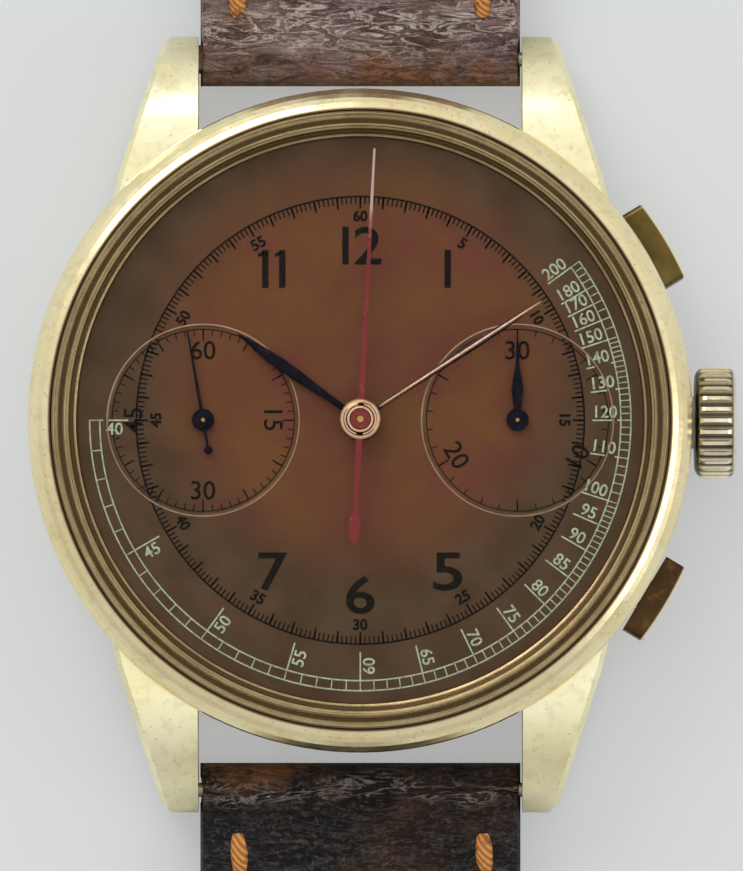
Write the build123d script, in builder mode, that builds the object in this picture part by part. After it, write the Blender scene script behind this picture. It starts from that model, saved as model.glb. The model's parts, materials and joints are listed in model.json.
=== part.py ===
from build123d import *
from math import acos, atan2, ceil, cos, degrees, hypot, pi, radians, sin, tau
import os

# A hand-wound wrist chronograph with two registers, two rectangular pushers, a coin-edge crown
# and a leather strap laid out flat. Millimetres. The case back's outer face is the plane z = 0,
# the hands turn about the z axis, +y points at 12 o'clock and +x at the crown.

# ---------------------------------------------------------------- driving dimensions

LUG_GAP = 18.0
BEZEL_R = 18.4
BAND_R = 17.6
BORE_R = 16.0
BACK_R = 16.7
LUG_TIP_Y = 21.6
DIAL_R = 15.9
DIAL_LOW, DIAL_HIGH = 7.2, 7.6
SUBDIAL_R = 5.3
SUBDIAL_DEPTH = 0.1
REGISTER_X = 8.7
CRYSTAL_R = 16.9

PLATE_R = 14.4
PLATE_LOW, PLATE_HIGH = 4.7, 6.2
BRIDGE_LOW, BRIDGE_HIGH = 2.7, 3.3
PALLET_BRIDGE_LOW, PALLET_BRIDGE_HIGH = 3.92, 4.17
CHRONO_BRIDGE_LOW, CHRONO_BRIDGE_HIGH = 0.95, 1.25
STEM_Z = 4.3
PIVOT_R = 0.12
JEWEL_R = 0.5
JEWEL_SEAT_R = 0.51
FIT = 0.03

PUSHER_ANGLE = 31.0
PUSHER_TIP_R = 15.0

STRAP_BAR_Y, STRAP_BAR_Z = 20.35, 2.5
STRAP_LOOP_R = 1.5
STRAP_WIDTH, STRAP_END_WIDTH = 17.8, 16.0
STRAP_RISE = 0.95
LONG_STRAP_END = 132.0
BUCKLE_BAR_Y, BUCKLE_BAR_Z = 94.0, 2.2

HOUR_HAND_ANGLE = 145.0
MINUTE_HAND_ANGLE = 33.0
CHRONO_HAND_ANGLE = 87.0
SECONDS_HAND_ANGLE = 100.0
REGISTER_HAND_ANGLE = 90.0
HOUR_HAND_LOW, MINUTE_HAND_LOW, SWEEP_HAND_LOW, SUBDIAL_HAND_LOW = 8.08, 8.66, 9.02, 7.78

# ---------------------------------------------------------------- gear train
# Every wheel's place follows from its module and its teeth.

BARREL_TEETH, CENTRE_PINION, BARREL_MODULE = 76, 12, 0.14
CENTRE_TEETH, THIRD_PINION, CENTRE_MODULE = 80, 10, 0.11
THIRD_TEETH, FOURTH_PINION, THIRD_MODULE = 75, 10, 0.10
FOURTH_TEETH, ESCAPE_PINION, FOURTH_MODULE = 80, 8, 0.09
ESCAPE_TEETH, ESCAPE_R = 15, 1.9
CANNON_TEETH, MINUTE_TEETH, CANNON_MODULE = 12, 36, 0.11
MINUTE_PINION, HOUR_TEETH, HOUR_MODULE = 12, 48, 0.088
WINDING_TEETH, CROWN_WHEEL_TEETH, TRANSFER_TEETH, RATCHET_TEETH, WINDING_MODULE = 15, 19, 16, 50, 0.2
CHRONO_TEETH, COUPLING_TEETH, CHRONO_MODULE = 72, 20, 0.1


def reach(module, first, second):
    """Centre distance of two wheels in mesh."""
    return module * (first + second) / 2


def polar(radius, angle, centre=(0.0, 0.0)):
    """Point at a radius and an angle in degrees from a centre."""
    return centre[0] + radius * cos(radians(angle)), centre[1] + radius * sin(radians(angle))


def meet(first, first_r, second, second_r, side):
    """Point at first_r from first and second_r from second, left (1) or right (-1) of their line."""
    dx, dy = second[0] - first[0], second[1] - first[1]
    apart = hypot(dx, dy)
    along = (first_r**2 - second_r**2 + apart**2) / (2 * apart)
    off = side * (first_r**2 - along**2) ** 0.5
    return first[0] + (along * dx - off * dy) / apart, first[1] + (along * dy + off * dx) / apart


def meshed(first, first_teeth, first_phase, second, second_teeth):
    """Phase of the second wheel, in radians, that puts its gaps on the first wheel's teeth."""
    line = atan2(second[1] - first[1], second[0] - first[0])
    behind = (line - first_phase) * first_teeth / tau % 1
    return line + pi + (behind + 0.5) * tau / second_teeth


CENTRE = (0.0, 0.0)
SECONDS = (-REGISTER_X, 0.0)
REGISTER = (REGISTER_X, 0.0)
BARREL = polar(reach(BARREL_MODULE, BARREL_TEETH, CENTRE_PINION), 45)
THIRD = meet(
    CENTRE,
    reach(CENTRE_MODULE, CENTRE_TEETH, THIRD_PINION),
    SECONDS,
    reach(THIRD_MODULE, THIRD_TEETH, FOURTH_PINION),
    -1,
)
ESCAPE = polar(reach(FOURTH_MODULE, FOURTH_TEETH, ESCAPE_PINION), -68, SECONDS)
PALLET = polar(2.35, -46, ESCAPE)
BALANCE = polar(5.1, -46, ESCAPE)
MINUTE_POST = polar(reach(CANNON_MODULE, CANNON_TEETH, MINUTE_TEETH), -60)
CROWN_WHEEL = (11.4, 0.0)
CROWN_WHEEL_R = WINDING_MODULE * CROWN_WHEEL_TEETH / 2
TRANSFER = meet(
    CROWN_WHEEL,
    reach(WINDING_MODULE, CROWN_WHEEL_TEETH, TRANSFER_TEETH),
    BARREL,
    reach(WINDING_MODULE, TRANSFER_TEETH, RATCHET_TEETH),
    -1,
)
CHRONO_MESH = reach(CHRONO_MODULE, CHRONO_TEETH, COUPLING_TEETH)
ENGAGED = meet(SECONDS, CHRONO_MESH, CENTRE, CHRONO_MESH, 1)
COUPLING_SWING = 360 / CHRONO_TEETH
ENGAGED_ANGLE = degrees(atan2(ENGAGED[1] - SECONDS[1], ENGAGED[0] - SECONDS[0]))
COUPLING = polar(CHRONO_MESH, ENGAGED_ANGLE + COUPLING_SWING, SECONDS)
COLUMN_WHEEL = polar(12.2, 58)
OPERATING_PIVOT = polar(12.3, 88)
HAMMER_PIVOT = polar(10.3, -47)
CLICK_PIVOT = polar(6.9, 118, BARREL)

# ---------------------------------------------------------------- shared shapes


def write(piece, name):
    """Label a finished piece and write it as the STEP file of its node."""
    piece.part.label = name
    export_step(piece.part, f"parts/{name}.step")


def gear_profile(teeth, module, phase=0.0):
    """Face of a spur gear with straight flanks. phase is the angle of one tooth in radians."""
    pitch_r = module * teeth / 2
    corners = ((-0.34, -1.15), (-0.13, 0.85), (0.13, 0.85), (0.34, -1.15))
    with BuildSketch() as profile:
        with BuildLine():
            points = []
            for tooth in range(teeth):
                for share, height in corners:
                    angle = phase + (tooth + share) * tau / teeth
                    radius = pitch_r + height * module
                    points.append((radius * cos(angle), radius * sin(angle)))
            Polyline(*points, close=True)
        make_face()
    return profile.sketch


def crossings(rim_r, hub_r, arms, width):
    """Face of the windows between a wheel's rim, hub and arms."""
    with BuildSketch() as windows:
        Circle(rim_r)
        Circle(hub_r, mode=Mode.SUBTRACT)
        with PolarLocations(0, arms, 90):
            Rectangle(2 * rim_r, width, align=(Align.MIN, Align.CENTER), mode=Mode.SUBTRACT)
    return windows.sketch


def toothed_wheel(at, low, high, teeth, module, phase, arms=0, bore=0.0):
    """A toothed disc between two heights, with arms if it is crossed out and a hole if it has a bore."""
    rim_r = module * (teeth / 2 - 3.2)
    with BuildPart() as wheel:
        with BuildSketch(Plane((*at, low))):
            add(gear_profile(teeth, module, phase))
            if arms:
                add(crossings(rim_r, max(0.22 * rim_r, 0.45), arms, 0.3), mode=Mode.SUBTRACT)
            if bore:
                Circle(bore, mode=Mode.SUBTRACT)
        extrude(amount=high - low)
    return wheel.part


def shaft(at, *steps):
    """A turned arbor: (low, high, radius) for each step."""
    with BuildPart() as turned:
        for low, high, radius in steps:
            with Locations((*at, low)):
                Cylinder(radius, high - low, align=(Align.CENTER, Align.CENTER, Align.MIN))
    return turned.part


def tube(at, low, high, outer, inner):
    """A plain tube along z."""
    with BuildPart() as pipe:
        with BuildSketch(Plane((*at, low))):
            Circle(outer)
            Circle(inner, mode=Mode.SUBTRACT)
        extrude(amount=high - low)
    return pipe.part


def lathe(outline):
    """Solid of revolution about the z axis from (radius, z) points."""
    with BuildPart() as turned:
        with BuildSketch(Plane.XZ):
            with BuildLine():
                Polyline(*outline, close=True)
            make_face()
        revolve(axis=Axis.Z)
    return turned


def arm(start, start_r, end, end_r):
    """Face of a lever arm: the hull of two circles."""
    with BuildSketch() as face:
        with Locations(start):
            Circle(start_r)
        with Locations(end):
            Circle(end_r)
        make_hull()
    return face.sketch


def lever(low, high, pivot, pivot_r, *arms):
    """A flat lever of several arms with a pivot hole."""
    with BuildPart() as plate:
        with BuildSketch(Plane.XY.offset(low)):
            for start, start_r, end, end_r in arms:
                add(arm(start, start_r, end, end_r))
            with Locations(pivot):
                Circle(pivot_r, mode=Mode.SUBTRACT)
        extrude(amount=high - low)
    return plate.part


def radial_plane(angle, radius):
    """Plane across the radial line at an angle, at the stem's height. Its normal points outwards."""
    return Plane(
        origin=(*polar(radius, angle), STEM_Z),
        x_dir=(-sin(radians(angle)), cos(radians(angle)), 0),
        z_dir=(cos(radians(angle)), sin(radians(angle)), 0),
    )


# ---------------------------------------------------------------- case

PUSHERS = {"start": PUSHER_ANGLE, "reset": -PUSHER_ANGLE}
TUBE_HOLE_R = 1.45


def make_lug():
    """The lug at 1 o'clock: a plan outline cut by a side outline that curves down to the wrist."""
    with BuildPart() as lug:
        with BuildSketch(Plane.XY):
            with BuildLine():
                Polyline((14.1, 10.8), (10.5, 10.8), (LUG_GAP / 2, 14.6), (LUG_GAP / 2, LUG_TIP_Y))
                Polyline(
                    (LUG_GAP / 2, LUG_TIP_Y),
                    (10.5, LUG_TIP_Y),
                    (11.05, 21.05),
                    (13.4, 13.7),
                    (14.1, 10.8),
                )
            make_face()
        extrude(amount=9)
        with BuildSketch(Plane.YZ):
            with BuildLine():
                Line((10, 7.25), (15.4, 7.22))
                top = ((15.4, 7.22), (18.6, 6.35), (20.9, 4.3), (LUG_TIP_Y, 2.7))
                Spline(*top, tangents=((1, -0.02), (0.1, -1)))
                ThreePointArc((LUG_TIP_Y, 2.7), (21.15, 1.45), (20.1, 1.05))
                Polyline((20.1, 1.05), (16.2, 1.3), (10, 1.3), (10, 7.25))
            make_face()
        extrude(amount=20, mode=Mode.INTERSECT)
        outer_top = lug.edges().filter_by(
            lambda e: e.center().X > 10.8 and e.center().Z > 4.4 and e.length > 2.6
        )
        chamfer(outer_top.filter_by(lambda e: e.center().Y > 11), 0.28)
        with Locations(Plane((LUG_GAP / 2 - 0.5, STRAP_BAR_Y, STRAP_BAR_Z), z_dir=(1, 0, 0))):
            Cylinder(0.45, 1.9, align=(Align.CENTER, Align.CENTER, Align.MIN), mode=Mode.SUBTRACT)
    return lug.part


def make_case_band():
    """The middle of the case: the wall with its neck for the bezel, four lugs and three side holes."""
    outline = (
        (BORE_R, 2.05),
        (BORE_R, 1.3),
        (16.9, 1.3),
        (17.3, 1.75),
        (BAND_R, 2.4),
        (BAND_R, 6.1),
        (18.1, 6.95),
        (18.1, 7.3),
        (17.2, 7.3),
        (17.2, 8.0),
        (BORE_R, 8.0),
    )
    lug = make_lug()
    with BuildPart() as band:
        with BuildSketch(Plane.XZ):
            with BuildLine():
                Polyline(*outline, close=True)
            make_face()
        revolve(axis=Axis.Z)
        add(lug)
        add(lug.mirror(Plane.YZ))
        add(lug.mirror(Plane.XZ))
        add(lug.mirror(Plane.YZ).mirror(Plane.XZ))
        Cylinder(BORE_R, 9, align=(Align.CENTER, Align.CENTER, Align.MIN), mode=Mode.SUBTRACT)
        for angle in (0, *PUSHERS.values()):
            with Locations(radial_plane(angle, 15)):
                Cylinder(TUBE_HOLE_R, 5, align=(Align.CENTER, Align.CENTER, Align.MIN), mode=Mode.SUBTRACT)
    return band


def make_bezel():
    """The press-fit bezel: a steep outer flange, a flatter inner one and the lip round the crystal."""
    return lathe(
        (
            (BEZEL_R, 7.36),
            (BEZEL_R, 7.66),
            (18.34, 7.84),
            (18.1, 8.2),
            (17.86, 8.46),
            (17.6, 8.65),
            (17.3, 8.8),
            (17.16, 8.84),
            (17.1, 8.7),
            (17.04, 8.7),
            (17.01, 8.86),
            (16.95, 8.86),
            (16.95, 8.06),
            (17.24, 8.06),
            (17.24, 7.36),
        )
    )


DOME_R = 70.0
DOME_TOP = 11.8
DOME_THICK = 0.8


def dome_point(radius, sphere_r):
    """Point of a sphere round the dome's centre, at a distance from the z axis."""
    return radius, DOME_TOP - DOME_R + (sphere_r**2 - radius**2) ** 0.5


def make_crystal():
    """The domed acrylic crystal: a standing rim and a dome of even thickness."""
    inner_r = DOME_R - DOME_THICK
    outer = [dome_point(radius, DOME_R) for radius in (0, 8.1, 16.2)]
    inner = [dome_point(radius, inner_r) for radius in (15.9, 8.0, 0)]
    with BuildPart() as crystal:
        with BuildSketch(Plane.XZ):
            with BuildLine():
                Line(inner[-1], outer[0])
                ThreePointArc(*outer)
                rim = ((CRYSTAL_R, 9.2), (CRYSTAL_R, 8.03), (16.42, 8.03), (16.42, 8.88))
                Polyline(outer[-1], *rim, inner[0])
                ThreePointArc(*inner)
            make_face()
        revolve(axis=Axis.Z)
    return crystal


def make_tension_ring():
    """The stepped gold ring inside the crystal that frames the dial."""
    return lathe(
        (
            (15.97, DIAL_HIGH + 0.02),
            (15.97, 8.05),
            (16.39, 8.05),
            (16.39, 8.85),
            (16.3, 8.85),
            (16.26, 8.62),
            (16.12, 8.58),
            (16.08, 8.36),
            (15.94, 8.32),
            (15.9, 8.08),
            (15.74, 8.02),
            (15.65, DIAL_HIGH + 0.02),
        )
    )


def make_case_back():
    """The press-fit back, with its flat, its coned edge, its lip and a lever notch."""
    back = lathe(
        (
            (0, 0),
            (13, 0),
            (16.2, 0.55),
            (BACK_R, 0.9),
            (BACK_R, 1.27),
            (15.95, 1.27),
            (15.95, 2.0),
            (15.2, 2.0),
            (14.6, 0.8),
            (0, 0.8),
        )
    )
    with back:
        with Locations((0, -BACK_R, 1.05)):
            Box(3.2, 0.6, 0.4, align=(Align.CENTER, Align.CENTER, Align.MIN), mode=Mode.SUBTRACT)
    return back


def make_movement_ring():
    """The spacer ring that centres the movement in the case, with three side holes."""
    with BuildPart() as ring:
        add(tube(CENTRE, 2.05, 7.17, 15.95, 14.45))
        for angle in (0, *PUSHERS.values()):
            with Locations(radial_plane(angle, 14)):
                Cylinder(1.75, 3, align=(Align.CENTER, Align.CENTER, Align.MIN), mode=Mode.SUBTRACT)
    return ring


def side_tube(angle, start, end, bore):
    """A tube pressed into one of the case's side holes."""
    with BuildPart() as sleeve:
        with BuildSketch(radial_plane(angle, start)):
            Circle(TUBE_HOLE_R - 0.01)
            Circle(bore, mode=Mode.SUBTRACT)
        extrude(amount=end - start)
    return sleeve.part


# ---------------------------------------------------------------- dial and hands


def make_dial():
    """The dial plate with its two sunk registers, three holes and two feet."""
    with BuildPart() as dial:
        with Locations((0, 0, DIAL_LOW)):
            Cylinder(DIAL_R, DIAL_HIGH - DIAL_LOW, align=(Align.CENTER, Align.CENTER, Align.MIN))
        for centre in (SECONDS, REGISTER):
            with BuildSketch(Plane((*centre, DIAL_HIGH))):
                Circle(SUBDIAL_R)
            extrude(amount=-SUBDIAL_DEPTH, taper=45, mode=Mode.SUBTRACT)
        for centre, hole_r in ((CENTRE, 1.05), (SECONDS, 0.32), (REGISTER, 0.32)):
            with Locations((*centre, DIAL_LOW)):
                Cylinder(hole_r, 1, align=(Align.CENTER, Align.CENTER, Align.MIN), mode=Mode.SUBTRACT)
        for angle in (100, 280):
            with Locations((*polar(12.9, angle), PLATE_HIGH + 0.1)):
                Cylinder(0.35, DIAL_LOW - PLATE_HIGH - 0.1, align=(Align.CENTER, Align.CENTER, Align.MIN))
    return dial


def hand_plane(centre, angle, height):
    """Plane at a hand's underside whose local x axis points along the hand."""
    return Plane(
        origin=(*centre, height),
        x_dir=(cos(radians(angle)), sin(radians(angle)), 0),
        z_dir=(0, 0, 1),
    )


def leaf_hand(angle, height, length, widest, boss_r, bore):
    """A leaf hand: narrow at the boss, widest past the middle, pointed at the tip."""
    with BuildPart() as hand:
        with BuildSketch(hand_plane(CENTRE, angle, height)):
            with BuildLine():
                Spline((0.6, 0.2), (0.62 * length, widest / 2), (length, 0.045))
                Line((length, 0.045), (length, -0.045))
                Spline((length, -0.045), (0.62 * length, -widest / 2), (0.6, -0.2))
                Line((0.6, -0.2), (0.6, 0.2))
            make_face()
            Circle(boss_r)
            Circle(bore, mode=Mode.SUBTRACT)
        extrude(amount=0.18)
        with BuildSketch(Plane((0, 0, height))):
            Circle(boss_r - 0.25)
            Circle(bore, mode=Mode.SUBTRACT)
        extrude(amount=-0.22)
    return hand


def make_chronograph_hand():
    """The long thin sweep hand with its weighted tail."""
    with BuildPart() as hand:
        with BuildSketch(hand_plane(CENTRE, CHRONO_HAND_ANGLE, SWEEP_HAND_LOW)):
            with BuildLine():
                Polyline((0, 0.17), (15.0, 0.06), (15.0, -0.06), (0, -0.17), close=True)
            make_face()
            with BuildLine():
                Polyline((0, 0.2), (-5.4, 0.12), (-5.4, -0.12), (0, -0.2), close=True)
            make_face()
            with Locations((-6.0, 0)):
                Ellipse(0.85, 0.34)
            Circle(0.8)
            Circle(0.2, mode=Mode.SUBTRACT)
        extrude(amount=0.14)
        with BuildSketch(Plane.XY.offset(SWEEP_HAND_LOW)):
            Circle(0.55)
            Circle(0.2, mode=Mode.SUBTRACT)
        extrude(amount=0.42)
    return hand


def make_small_seconds_hand():
    """The running seconds hand with a round poise on its tail."""
    with BuildPart() as hand:
        with BuildSketch(hand_plane(SECONDS, SECONDS_HAND_ANGLE, SUBDIAL_HAND_LOW)):
            with BuildLine():
                Polyline((0, 0.11), (5.05, 0.04), (5.05, -0.04), (0, -0.11), close=True)
            make_face()
            with Locations((-0.8, 0)):
                Rectangle(1.6, 0.14)
            with Locations((-1.7, 0)):
                Circle(0.24)
            Circle(0.62)
            Circle(0.13, mode=Mode.SUBTRACT)
        extrude(amount=0.12)
        with BuildSketch(Plane((*SECONDS, SUBDIAL_HAND_LOW))):
            Circle(0.4)
            Circle(0.13, mode=Mode.SUBTRACT)
        extrude(amount=0.3)
    return hand


def make_register_hand():
    """The minute register's hand: a needle that swells to a diamond near its boss."""
    with BuildPart() as hand:
        with BuildSketch(hand_plane(REGISTER, REGISTER_HAND_ANGLE, SUBDIAL_HAND_LOW)):
            with BuildLine():
                Polyline(
                    (0.3, 0.16),
                    (1.7, 0.34),
                    (3.0, 0.12),
                    (4.7, 0.04),
                    (4.7, -0.04),
                    (3.0, -0.12),
                    (1.7, -0.34),
                    (0.3, -0.16),
                    close=True,
                )
            make_face()
            Circle(0.62)
            Circle(0.13, mode=Mode.SUBTRACT)
        extrude(amount=0.12)
        with BuildSketch(Plane((*REGISTER, SUBDIAL_HAND_LOW))):
            Circle(0.4)
            Circle(0.13, mode=Mode.SUBTRACT)
        extrude(amount=0.3)
    return hand


# ---------------------------------------------------------------- motion work under the dial

CANNON_PHASE = 0.0
MINUTE_PHASE = meshed(CENTRE, CANNON_TEETH, CANNON_PHASE, MINUTE_POST, MINUTE_TEETH)
MINUTE_PINION_PHASE = 0.0
HOUR_PHASE = meshed(MINUTE_POST, MINUTE_PINION, MINUTE_PINION_PHASE, CENTRE, HOUR_TEETH)


def make_cannon_pinion():
    """The friction-fitted tube that carries the minute hand."""
    with BuildPart() as cannon:
        add(toothed_wheel(CENTRE, 6.28, 6.62, CANNON_TEETH, CANNON_MODULE, CANNON_PHASE, bore=0.43))
        add(tube(CENTRE, 6.62, 8.9, 0.55, 0.43))
    return cannon


def make_minute_wheel():
    """The wheel and pinion between the cannon pinion and the hour wheel."""
    with BuildPart() as wheel:
        add(toothed_wheel(MINUTE_POST, 6.32, 6.55, MINUTE_TEETH, CANNON_MODULE, MINUTE_PHASE, bore=0.3))
        pinion = (6.55, 7.0, MINUTE_PINION, HOUR_MODULE, MINUTE_PINION_PHASE)
        add(toothed_wheel(MINUTE_POST, *pinion, bore=0.3))
    return wheel


def make_hour_wheel():
    """The hour wheel with the pipe that carries the hour hand."""
    with BuildPart() as wheel:
        add(toothed_wheel(CENTRE, 6.72, 6.95, HOUR_TEETH, HOUR_MODULE, HOUR_PHASE, bore=0.59))
        add(tube(CENTRE, 6.95, 8.3, 0.85, 0.59))
    return wheel


# ---------------------------------------------------------------- plates and bridges

# Jewel holes: centre, lower face, upper face and the pivot's radius.
JEWELS = (
    (THIRD, BRIDGE_LOW, BRIDGE_LOW + 0.3, PIVOT_R),
    (THIRD, PLATE_HIGH - 0.5, PLATE_HIGH - 0.2, PIVOT_R),
    (SECONDS, BRIDGE_LOW, BRIDGE_LOW + 0.3, 0.2),
    (SECONDS, PLATE_HIGH - 0.3, PLATE_HIGH, 0.13),
    (ESCAPE, BRIDGE_LOW, BRIDGE_LOW + 0.3, PIVOT_R),
    (ESCAPE, PLATE_HIGH - 0.5, PLATE_HIGH - 0.2, PIVOT_R),
    (PALLET, PLATE_HIGH - 0.5, PLATE_HIGH - 0.2, 0.1),
    (PALLET, PALLET_BRIDGE_LOW, PALLET_BRIDGE_HIGH, 0.1),
    (BALANCE, BRIDGE_LOW - 0.1, BRIDGE_LOW + 0.2, 0.1),
    (BALANCE, PLATE_HIGH - 0.5, PLATE_HIGH - 0.2, 0.1),
    (CENTRE, CHRONO_BRIDGE_LOW, CHRONO_BRIDGE_HIGH, 0.15),
    (REGISTER, CHRONO_BRIDGE_LOW, CHRONO_BRIDGE_HIGH, 0.15),
    (REGISTER, PLATE_HIGH - 0.3, PLATE_HIGH, 0.15),
)
BARREL_BRIDGE_FEET = (polar(13.2, 43), polar(13.2, 74), polar(13.2, 104))
TRAIN_BRIDGE_FEET = (polar(13.2, 122), polar(13.2, 160), polar(13.2, 192))
BALANCE_COCK_FOOT = polar(13.1, -86)
PALLET_BRIDGE_FEET = (polar(2.4, 50, PALLET), polar(2.3, -130, PALLET))
CHRONO_BRIDGE_FEET = (polar(7.4, -75), polar(6.3, 110), polar(12.9, -14))
FOOT_R = 0.85
SCREW_R = 0.3
STUD_R = 0.3
LEVER_LOW, LEVER_HIGH = 1.4, 1.65
OPERATING_LOW, OPERATING_HIGH = 1.03, 1.28
RUNNER_LOW, RUNNER_HIGH = 1.9, 2.1


def drill(centre, low, high, radius):
    """Cylinder that a hole takes away."""
    return shaft(centre, (low, high, radius))


def make_main_plate():
    """The main plate: rims for the dial, sinks for the wheels, a trench for the stem and its holes."""
    with BuildPart() as plate:
        add(shaft(CENTRE, (PLATE_LOW, PLATE_HIGH, PLATE_R)))
        add(tube(CENTRE, PLATE_HIGH, DIAL_LOW - 0.03, PLATE_R, PLATE_R - 0.8))
        add(shaft(MINUTE_POST, (PLATE_HIGH, 7.05, 0.27)))
        sinks = (
            (BARREL, 5.02, BARREL_MODULE * BARREL_TEETH / 2 + 0.4),
            (CENTRE, 5.3, CENTRE_MODULE * CENTRE_TEETH / 2 + 0.3),
            (THIRD, 5.4, 0.95),
            (SECONDS, 4.86, FOURTH_MODULE * FOURTH_TEETH / 2 + 0.3),
            (ESCAPE, 5.0, 0.8),
            (BALANCE, 4.9, 1.2),
            (PALLET, 4.9, 0.7),
        )
        for centre, top, radius in sinks:
            add(drill(centre, PLATE_LOW - 0.1, top, radius), mode=Mode.SUBTRACT)
        for centre, low, high, pivot_r in JEWELS:
            if high > PLATE_LOW:
                add(drill(centre, PLATE_LOW, high, JEWEL_SEAT_R), mode=Mode.SUBTRACT)
                add(drill(centre, high, PLATE_HIGH + 0.1, pivot_r + 0.1), mode=Mode.SUBTRACT)
        add(drill(CENTRE, PLATE_LOW, PLATE_HIGH + 0.1, 0.85), mode=Mode.SUBTRACT)
        add(drill(BARREL, PLATE_LOW, 5.7, 0.55), mode=Mode.SUBTRACT)
        with Locations((9.3, 0, PLATE_LOW - 0.1)):
            Box(6, 3.6, 1.36, align=(Align.MIN, Align.CENTER, Align.MIN), mode=Mode.SUBTRACT)
        for angle in (100, 280):
            add(drill(polar(12.9, angle), PLATE_LOW, PLATE_HIGH + 0.1, 0.38), mode=Mode.SUBTRACT)
        for foot in (*BARREL_BRIDGE_FEET, *TRAIN_BRIDGE_FEET, BALANCE_COCK_FOOT):
            add(drill(foot, PLATE_LOW - 0.1, PLATE_LOW + 0.6, SCREW_R), mode=Mode.SUBTRACT)
    return plate


def bridge(outline, feet, low, high, foot_top, arbors):
    """A bridge of rounded arms with round feet, screw holes and jewel or arbor holes."""
    with BuildPart() as body:
        with BuildSketch(Plane.XY.offset(low)):
            for start, start_r, end, end_r in outline:
                add(arm(start, start_r, end, end_r))
            with BuildSketch(mode=Mode.PRIVATE) as inside:
                Circle(PLATE_R - 0.05)
            add(inside.sketch, mode=Mode.INTERSECT)
        extrude(amount=high - low)
        for foot in feet:
            add(shaft(foot, (high, foot_top, FOOT_R)))
            add(drill(foot, low - 0.1, foot_top + 0.1, SCREW_R), mode=Mode.SUBTRACT)
            add(drill(foot, low - 0.1, low + 0.25, SCREW_R + 0.32), mode=Mode.SUBTRACT)
        for centre, radius in arbors:
            add(drill(centre, low - 0.1, high + 0.1, radius), mode=Mode.SUBTRACT)
    return body


def make_barrel_bridge():
    """The bridge over the barrel, sunk on its outside for the crown and transfer wheels."""
    first, second, third = BARREL_BRIDGE_FEET
    body = bridge(
        (
            (BARREL, 2.4, first, 1.5),
            (BARREL, 2.4, second, 1.5),
            (BARREL, 2.4, third, 1.4),
            (BARREL, 2.4, COLUMN_WHEEL, 1.2),
            (BARREL, 2.4, CLICK_PIVOT, 0.8),
            (second, 1.3, OPERATING_PIVOT, 0.9),
            (BARREL, 2.4, TRANSFER, 2.0),
            (TRANSFER, 2.0, CROWN_WHEEL, 1.3),
        ),
        BARREL_BRIDGE_FEET,
        BRIDGE_LOW,
        BRIDGE_HIGH,
        PLATE_LOW,
        ((BARREL, 0.53),),
    )
    with body:
        add(drill(CROWN_WHEEL, BRIDGE_LOW - 0.1, 3.0, CROWN_WHEEL_R + 0.35), mode=Mode.SUBTRACT)
        transfer_room = WINDING_MODULE * TRANSFER_TEETH / 2 + 0.35
        add(drill(TRANSFER, BRIDGE_LOW - 0.1, 3.0, transfer_room), mode=Mode.SUBTRACT)
        with Locations((12.9, 0, BRIDGE_LOW - 0.1)):
            Box(3, 3.6, 1, align=(Align.MIN, Align.CENTER, Align.MIN), mode=Mode.SUBTRACT)
        studs = ((CROWN_WHEEL, 3.1, 0.55), (TRANSFER, 3.1, 0.5), (CLICK_PIVOT, BRIDGE_LOW, 0.3))
        for centre, top, radius in studs:
            add(shaft(centre, (2.3, top, radius)))
        add(shaft(COLUMN_WHEEL, (LEVER_LOW - 0.05, BRIDGE_LOW, STUD_R)))
        add(shaft(OPERATING_PIVOT, (OPERATING_LOW - 0.05, BRIDGE_LOW, STUD_R)))
    return body


def make_train_bridge():
    """The bridge that carries the centre, third, fourth and escape arbors."""
    first, second, third = TRAIN_BRIDGE_FEET
    return bridge(
        (
            (first, 1.5, THIRD, 1.3),
            (second, 1.5, SECONDS, 1.5),
            (third, 1.5, SECONDS, 1.5),
            (SECONDS, 1.5, ESCAPE, 0.85),
            (SECONDS, 1.5, THIRD, 1.3),
            (THIRD, 1.3, CENTRE, 1.5),
            (first, 1.5, second, 1.5),
        ),
        TRAIN_BRIDGE_FEET,
        BRIDGE_LOW,
        BRIDGE_HIGH,
        PLATE_LOW,
        ((CENTRE, 0.62), (THIRD, JEWEL_SEAT_R), (SECONDS, JEWEL_SEAT_R), (ESCAPE, JEWEL_SEAT_R)),
    )


def make_balance_cock():
    """The cock over the balance."""
    return bridge(
        ((BALANCE_COCK_FOOT, 1.9, BALANCE, 1.1),),
        (BALANCE_COCK_FOOT,),
        BRIDGE_LOW - 0.1,
        BRIDGE_LOW + 0.3,
        PLATE_LOW,
        ((BALANCE, JEWEL_SEAT_R),),
    )


def make_chronograph_bridge():
    """The bridge over the chronograph runner and the minute runner."""
    near, far, side = CHRONO_BRIDGE_FEET
    body = bridge(
        (
            (near, 1.0, CENTRE, 1.0),
            (near, 1.0, HAMMER_PIVOT, 0.8),
            (CENTRE, 1.0, REGISTER, 1.0),
            (CENTRE, 1.0, far, 1.0),
            (REGISTER, 1.0, side, 1.0),
        ),
        CHRONO_BRIDGE_FEET,
        CHRONO_BRIDGE_LOW,
        CHRONO_BRIDGE_HIGH,
        PLATE_LOW,
        ((CENTRE, JEWEL_SEAT_R), (REGISTER, JEWEL_SEAT_R)),
    )
    with body:
        add(shaft(HAMMER_PIVOT, (CHRONO_BRIDGE_LOW, LEVER_HIGH + 0.1, STUD_R)))
    return body


def make_jewels():
    """The synthetic ruby bearings, one ring for each pivot."""
    with BuildPart() as rubies:
        for centre, low, high, pivot_r in JEWELS:
            add(tube(centre, low, high, JEWEL_R, pivot_r + FIT))
    return rubies


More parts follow.
